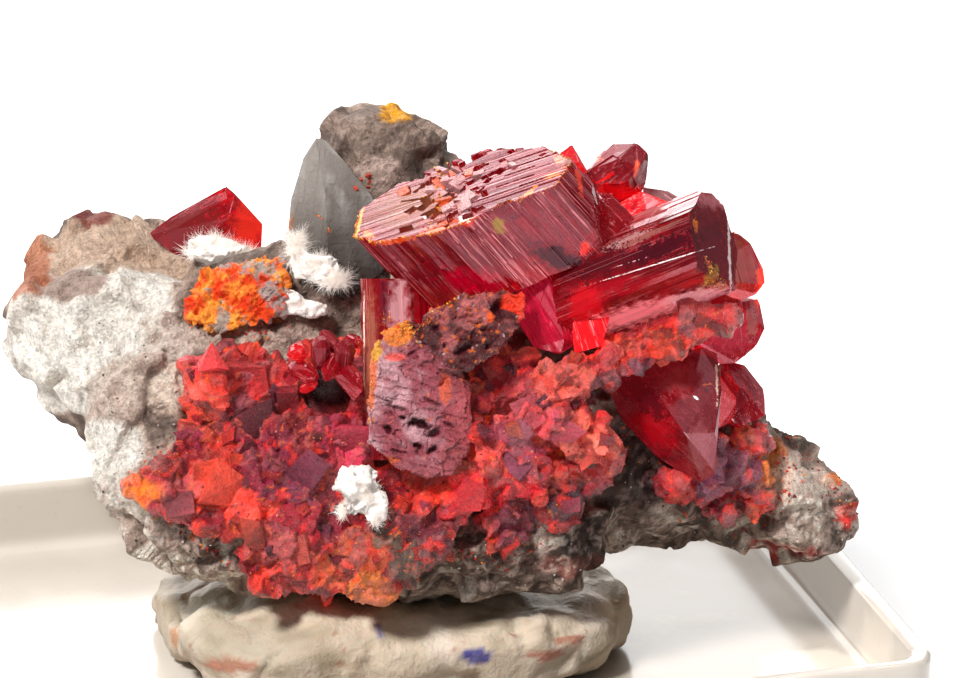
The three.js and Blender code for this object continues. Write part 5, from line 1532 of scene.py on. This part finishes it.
# Cleaved plates that stand out of the crust: place on the face, width, height, turn and colour.
CRUST_PLATES = [
    (-14.2, -7.9, 2.0, 2.1, -15, "e8462e"), (-12.1, -4.9, 2.1, 2.0, 20, "6e2630"),
    (-12.7, -2.0, 2.2, 1.6, -10, "b02c2e"), (-14.8, -1.4, 0.9, 1.0, 15, "ee3234"),
    (-7.2, -5.4, 1.9, 1.5, -30, "be3448"), (-9.3, -6.9, 1.6, 1.5, 35, "7c2c40"),
    (-16.4, -9.2, 1.6, 1.2, 10, "a4424a"), (-10.6, -3.4, 1.1, 2.0, -5, "8a2028"),
    (-12.4, -10.4, 1.5, 1.0, -20, "d4402c"), (-9.8, -11.4, 1.6, 1.3, 15, "bc4a40"),
    (2.8, -3.9, 1.6, 1.3, 25, "c0505a"), (4.7, -5.0, 1.5, 1.1, -20, "c84454"),
    (5.8, -6.3, 1.3, 1.2, 10, "ea564a"), (2.0, -6.6, 1.6, 1.5, -35, "8a4052"),
    (-0.6, -8.4, 1.0, 1.8, -20, "e02c34"), (2.3, -9.9, 1.5, 1.6, 10, "7b3a47"),
    (4.6, -8.4, 1.2, 1.0, 30, "5a2c34"), (-4.2, -9.4, 0.6, 1.6, -12, "dc3a2a"),
]
PLATE_COLOURS = ["e0442e", "b42430", "7a1c2c", "642836", "c8302a", "a83048", "cc5240"]
LOOSE_PLATES = 90
CLEAR_OF_HOLLOW = 2.2


def crust_plates(surface):
    random = np.random.default_rng(101)
    plates = list(CRUST_PLATES)
    for _ in range(LOOSE_PLATES):
        x, y = random.uniform((-17.0, -12.6), (7.0, -0.8))
        width, height = random.uniform(0.35, 0.85, 2)
        if math.dist((x, y), BLACK_HOLLOW[:2]) > CLEAR_OF_HOLLOW:
            plates.append((x, y, width, height, random.uniform(-50, 50), random.choice(PLATE_COLOURS)))
    shapes = []
    tints = []
    for x, y, width, height, turn, colour in plates:
        found = dropped([(x, y)], surface)
        thickness = 0.5 + 0.3 * width
        stance = tilted(random.normal(0, 0.25), random.normal(0, 0.25), math.radians(turn))
        worn_away = random.normal(0, 0.09, (8, 3)) * (width + height)
        if len(found):
            place = found[0] - np.array([0, 0, 0.36 * thickness])
            shapes.append((place, (width, height, thickness), stance, worn_away))
            tints += [linear(colour) * shade for shade in random.uniform(0.35, 1.05, 8)]
    places, sizes, stances, wear = zip(*shapes)
    mesh = blocks(places, sizes, stances, wear=wear)
    piece(mesh, "crust_plates", "etched", "realgar_crust", tint=np.array(tints))


# Lines of grains round the crusts, on the face.
GROUND_DUST = [
    ([(-15.9, -2.0), (-15.4, -4.8), (-17.6, -6.6), (-19.0, -7.8), (-16.0, -10.6), (-13.2, -12.6),
      (-8.6, -13.6), (-4.8, -13.6), (-4.6, -11.2), (1.6, -12.2), (4.6, -9.8), (6.8, -7.8), (8.0, -4.6)],
     900, 0.3),
    ([(9.4, -6.6), (11.4, -9.4), (14.8, -10.6), (17.0, -8.6), (16.6, -5.8), (19.2, -7.6), (20.6, -9.8)],
     350, 0.45),
    ([(-16.0, 0.8), (-15.4, 3.2), (-12.4, 3.4), (-10.8, 1.2), (-13.4, 0.2)], 450, 0.35),
]


def ground_dust(surface, crusts):
    """Loose grains round the crusts: red and orange ones near them, pale and black ones on the stone."""
    random = np.random.default_rng(95)
    red = along_lines(
        [(np.pad(np.array(line), ((0, 0), (0, 1))), *rest) for line, *rest in GROUND_DUST], random)
    dust("red_grains", "realgar_crust", dropped(red[:, :2], surface), RED_DUST, 0.03, 0.13, 96)
    on_crust = np.column_stack([random.uniform(-18, 8, 2200), random.uniform(-14, -4.5, 2200)])
    dust("crust_grains", "realgar_crust", dropped(on_crust, crusts), CRUST_DUST, 0.03, 0.1, 100)
    on_stone = np.column_stack([random.uniform(-22, 21, 1800), random.uniform(-14, 2, 1800)])
    dust("stone_grains", "stone", dropped(on_stone, surface), GREY_DUST, 0.02, 0.11, 98)


def random_turn(random):
    axis = unit(random.normal(0, 1, 3))
    return Matrix.Rotation(random.uniform(0, math.tau), 3, Vector(axis))


FIBRE_RADIUS = 0.009
FIBRE_CURL = 0.4


def fibres(name, roots, directions, lengths, seed, node_name):
    """Thin tapering white needles, each gently bent, in the face frame."""
    random = np.random.default_rng(seed)
    points = []
    faces = []
    angles = [corner * math.tau / 3 for corner in range(3)]
    for root, direction, length in zip(roots, directions, lengths):
        direction = unit(direction)
        first, second = across(direction)
        bend = (first * random.normal(0, FIBRE_CURL) + second * random.normal(0, FIBRE_CURL)) * length
        start = len(points)
        thick = FIBRE_RADIUS * random.uniform(0.6, 1.4)
        for share in (0.0, 0.5, 1.0):
            middle = root + direction * length * share + bend * share * share
            width = thick * (1 - 0.75 * share)
            points += [
                middle + width * (first * math.cos(angle) + second * math.sin(angle)) for angle in angles]
        for ring in (start, start + 3):
            for a, b in ((0, 1), (1, 2), (2, 0)):
                faces.append((ring + a, ring + b, ring + b + 3, ring + a + 3))
        faces.append((start + 2, start + 1, start))
        faces.append((start + 6, start + 7, start + 8))
    mesh = mesh_of(to_tray(np.array(points)), faces)
    tint = np.tile(linear("f2eae2"), (len(points), 1))
    piece(mesh, name, "fibre", "white_mineral", node_name, tint=tint)


# The rounded masses that hairs spread out of: middle and radii.
FLUFF_MASSES = [((-15.0, 4.8, -6.2), (2.2, 1.2, 1.6)), ((-13.4, 4.2, -5.8), (1.5, 0.9, 1.2))]
TUFT_MASSES = [
    ((-10.2, 4.9, 0.7), (0.6, 1.6, 0.5)), ((-9.0, 3.9, 1.4), (1.1, 0.8, 0.7)),
    ((-8.0, 3.2, 1.6), (1.0, 0.5, 0.5)),
]
PATCH_MASSES = [
    ((-6.1, -8.2, 7.0), (1.0, 0.9, 0.3)), ((-5.7, -9.3, 6.9), (0.5, 0.9, 0.3)),
    ((-7.5, -9.0, 6.7), (0.3, 1.0, 0.3)),
]


def tufts(name, masses, count, per_tuft, reach, seed, node_name, upward=(0, 0.7, 0.5)):
    """Bunches of hairs that spread out of some rounded masses, given by middle and radii."""
    random = np.random.default_rng(seed)
    roots = []
    directions = []
    lengths = []
    for tuft in range(count):
        middle, radii = masses[tuft % len(masses)]
        outward = unit(random.normal(0, 1, 3) + np.array(upward))
        start = np.array(middle) + outward * np.array(radii) * random.uniform(0.1, 0.75)
        tuft_reach = reach * random.uniform(0.4, 1.0)
        lean = unit(outward + random.normal(0, 0.35, 3))
        for _ in range(per_tuft):
            roots.append(start + random.normal(0, 0.08, 3))
            directions.append(unit(lean + random.normal(0, 0.35, 3)))
            lengths.append(tuft_reach * random.uniform(0.35, 1.0))
    fibres(name, roots, directions, lengths, seed + 1, node_name)


def white_solid(node_name, name, seed, relief=0.2, inward=0.0):
    mesh = refined(node_name, voxel=0.12, relax=3)
    points = face_points(mesh)
    knobs = Grains(points, 0.45, seed, warp=0.25)
    height = relief * (0.5 - 2 * knobs.border) + 0.8 * relief * layered(points, 0.9, 4, seed)
    ragged = smooth_step(layered(points, 1.3, 2, seed + 8), -0.1, 0.5)
    raised(mesh, height - inward - 1.6 * relief * ragged, node_name)
    tint = mixed("fbf3ec", "e0d2c8", smooth_step(layered(points, 0.5, 2, seed + 5), 0.1, 0.6))
    piece(mesh, name, "white", "white_mineral", node_name, tint=tint, smooth=True)


# ---- Tray and putty ----

SHARP_ANGLE = math.radians(50)
TRAY_ROUNDING = 0.22
TRAY_VOXEL = 0.3
TRAY_SPOTS = [
    # The first spot darkens the tray's floor round the specimen, a painted shade; the second lightens the
    # right front, a painted light.
    (14.0, -4.0, 1.0, 14.0, 16.0, 1.6, "a2988c", 0.9), (24.0, -12.0, 2.0, 4.0, 5.0, 6.0, "e6dac8", 0.5),
]


def tray_piece():
    form = bmesh.new()
    form.from_mesh(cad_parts["tray"].data)
    bmesh.ops.dissolve_limit(form, angle_limit=FLAT_ANGLE, verts=form.verts, edges=form.edges)
    edges = [edge for edge in form.edges if edge.calc_face_angle(0) > SHARP_ANGLE]
    bmesh.ops.bevel(
        form, geom=edges, offset=TRAY_ROUNDING * MM, segments=3, profile=0.6, affect="EDGES",
        clamp_overlap=True)
    mesh = bpy.data.meshes.new("tray")
    form.to_mesh(mesh)
    form.free()
    mesh = modified(mesh, ("REMESH", {"mode": "VOXEL", "voxel_size": TRAY_VOXEL * MM}))
    tint = painted("c4bbb0", points_of(mesh), TRAY_SPOTS)
    piece(mesh, "tray_box", "tray", "tray", "tray", tint=tint, smooth=True)


PUTTY_SPOTS = [
    # The olive and grey-beige spots are painted shadow under the stone and crust; the blue, red and orange
    # spots are marks on the putty.
    (-4.4, -14.8, 3.0, 4.0, 0.7, 3, "8c8468", 0.6), (-15.0, -15.2, -1.0, 2.8, 1.0, 3, "b4ac94", 0.7),
    (-12.4, -16.9, 3.0, 4.0, 1.8, 6, "9c907c", 0.6), (7.2, -15.2, -2.5, 1.6, 0.9, 3, "b0987c", 0.7),
    (-0.2, -17.4, 3.7, 1.0, 0.42, 2, "34368c", 0.95), (-5.5, -16.1, 4.0, 0.14, 0.55, 2, "4a4c94", 0.9),
    (-13.7, -17.9, 4.0, 1.7, 0.4, 2, "a8523a", 0.8), (-16.9, -16.6, -1.0, 0.4, 0.6, 2, "b0703c", 0.8),
    (4.9, -16.6, 1.8, 1.0, 0.3, 2, "9a4a34", 0.8), (3.6, -17.4, 2.5, 1.4, 0.3, 2, "a8402c", 0.7),
]


def putty_piece():
    mesh = refined("putty", voxel=0.3, relax=8)
    points = points_of(mesh)
    warp = np.stack([layered(points, 3.0, 2, 81 + n) for n in range(3)], axis=1)
    folds = np.abs(noise(points + warp * 1.4, 2.6, 85))
    folded = smooth_step(layered(points, 4.0, 2, 89), -0.3, 0.3)
    creases = (0.4 * smooth_step(folds, 0.0, 0.35) - 0.4) * folded
    pressed = layered((points + warp) * np.array([1.0, 1.0, 1.8]), 3.4, 4, 86)
    raised(mesh, creases + 0.9 * pressed + 0.1, "putty")
    smears = layered(points * np.array([0.5, 1, 1.6]), 1.4, 3, 87)
    colours = mixed("ccbaa6", "9c8c76", smooth_step(smears, -0.1, 0.5))
    colours = mixed(colours, "d8c8b8", smooth_step(layered(points, 2.4, 3, 90), 0.1, 0.5))
    # darker along the creases of the folds, a painted shade
    colours = mixed(colours, "8c7c68", 0.6 * folded * (1 - smooth_step(folds, 0.0, 0.1)))
    # lighter on top and darker low down: painted light and painted shade
    colours = colours * mixed(0.78, 1.2, smooth_step(points[:, 2], 2.0, 7.0))
    colours = painted(np.clip(colours, 0, 0.85), to_face(points), PUTTY_SPOTS)
    colours = mixed(colours, "9a4a2e", 0.6 * smooth_step(layered(points, 0.4, 2, 88), 0.6, 0.68))
    piece(mesh, "putty_lump", "putty", "putty", "putty", tint=colours, smooth=True)


# ---- Small growths ----

BLADE_CORNERS = [
    (-9.2, 11.2, -1.4), (-8.7, 11.2, -1.5), (-9.9, 10.1, -1.3), (-7.7, 10.1, -1.4),
    (-10.6, 7.7, -1.0), (-10.8, 5.2, -0.6), (-10.5, 3.9, -0.4), (-7.5, 2.2, 0.6),
    (-5.3, 3.8, 0.2), (-5.2, 5.4, -0.2), (-6.0, 8.0, -0.8), (-8.6, 8.0, 0.4),
    (-8.4, 4.4, 1.2), (-9.0, 10.9, -2.2), (-10.3, 4.4, -2.4), (-5.6, 4.6, -2.4),
    (-8.0, 1.6, -2.6),
]


def blade_piece():
    form = hull(BLADE_CORNERS)
    worn(form, 5, 0.08)
    mesh = grown(form, (0.12, 1, 0), 0.35, 0.04, 0.5, 6, tilt=0.08)
    points = face_points(mesh)
    streaks = layered(points * np.array([1, 0.25, 1]), 0.9, 4, 95)
    height = smooth_step(points[:, 1] - 0.5 * points[:, 0], 6.0, 15.0)
    colours = mixed("1c120c", "8a8078", height)
    colours = mixed(colours, "dcd6d0", 0.8 * smooth_step(-streaks, 0.05, 0.5) * height)
    colours = mixed(colours, "2c2420", 0.7 * smooth_step(streaks, 0.0, 0.5) * (1 - height))
    colours = painted(colours, points, [(-10.6, 6.4, 0.0, 0.3, 0.7, 2, RUST, 0.6)])
    return piece(mesh, "grey_blade", "blade", "grey_crystal", "grey_blade_crystal", tint=colours)


# The crystals round the hollow: middle, size and material.
HOLLOW_CRYSTALS = [
    ((-9.9, -0.7, 5.6), 1.0, "bright crystal"), ((-9.6, -1.8, 5.8), 0.95, "crystal"),
    ((-9.4, -2.6, 5.5), 0.6, "bright crystal"), ((-8.7, -0.8, 5.8), 1.0, "back crystal"),
    ((-8.1, -1.6, 6.0), 0.9, "crystal"), ((-7.4, -0.9, 6.0), 1.05, "back crystal"),
    ((-7.0, -1.9, 6.0), 0.8, "crystal"), ((-8.2, -0.1, 5.2), 0.8, "back crystal"),
    ((-6.9, -0.1, 5.6), 0.7, "crystal"),
]
# How far along a small crystal its corners are, and how far out.
HOLLOW_PROFILE = [(-0.9, 0.3), (-0.5, 0.55), (0.55, 0.6), (0.95, 0.35)]
HOLLOW_WEDGE = [
    (-8.0, -2.0, 6.4), (-6.6, -1.8, 6.6), (-6.4, -2.8, 6.4), (-6.9, -3.4, 6.0),
    (-7.8, -2.4, 5.4), (-6.5, -2.2, 5.2), (-8.3, -1.7, 5.6),
]


def hollow_crystals():
    """Small glassy crystals round the little hollow in the left crust."""
    random = np.random.default_rng(61)
    for number, (middle, reach, material) in enumerate(HOLLOW_CRYSTALS, 1):
        long_way = unit(random.normal(0, 1, 3) + np.array([0.3, 0.8, 0.3]))
        beside, beyond = across(long_way)
        corners = [
            np.array(middle) + reach * (
                long_way * end + (beside * math.cos(angle) + beyond * math.sin(angle)) * width)
            for end, width in HOLLOW_PROFILE
            for angle in np.arange(6) * math.tau / 6 + random.uniform(-0.3, 0.3, 6)
        ]
        mesh = grown(hull(corners), long_way, 0.18, 0.04, 1.0, 619 + number)
        piece(mesh, f"hollow_crystal_{number}", material, "realgar", "hollow_crystals")
    mesh = grown(hull(HOLLOW_WEDGE), (0.7, -0.7, 0), 0.15, 0.05, 2.0, 62)
    piece(mesh, "hollow_wedge", "crystal", "realgar", "hollow_crystals")


# ---- Everything together ----

make_camera()
make_light()
make_floor()

MATERIALS = make_materials()

tray_piece()
putty_piece()
stone_mesh = stone_piece()
crust_mesh = crust_piece("realgar_crust", "red_crust", 64, CRUST_SPOTS)
crust_piece("realgar_crust_right", "right_crust", 65, RIGHT_CRUST_SPOTS, coarse=0.9)
orange_piece()
crystal_meshes = [main_crystal(), right_prism(), upright_prism()]
etched_columns()
small_crystals(SMALLER_CRYSTALS, "realgar_crystals", 100)
small_crystals(LOWER_CRYSTALS, "realgar_crystals_lower", 200)
small_crystals(LONE_CRYSTAL, "realgar_crystal_back", 300)
crystal_meshes.append(etched_piece())
blade_mesh = blade_piece()
hollow_crystals()
white_solid("white_fluff", "white_fluff_core", 75, inward=0.35)
white_solid("white_tuft", "white_tuft_core", 76, inward=0.4)
white_solid("white_cap", "white_cap_growth", 71)
white_solid("white_patch", "white_patch_growth", 72, relief=0.4)
tufts("white_fluff_fibres", FLUFF_MASSES, 260, 24, 1.0, 73, "white_fluff")
tufts("white_tuft_fibres", TUFT_MASSES, 210, 24, 0.95, 74, "white_tuft")
tufts("white_patch_fibres", PATCH_MASSES, 90, 20, 0.7, 77, "white_patch", upward=(0.1, -1.6, 0.5))
crust_plates(surface_of(crust_mesh))
crystal_dust(surface_of(*crystal_meshes))
blade_dust(surface_of(blade_mesh, stone_mesh))
ground_dust(surface_of(stone_mesh), surface_of(crust_mesh))
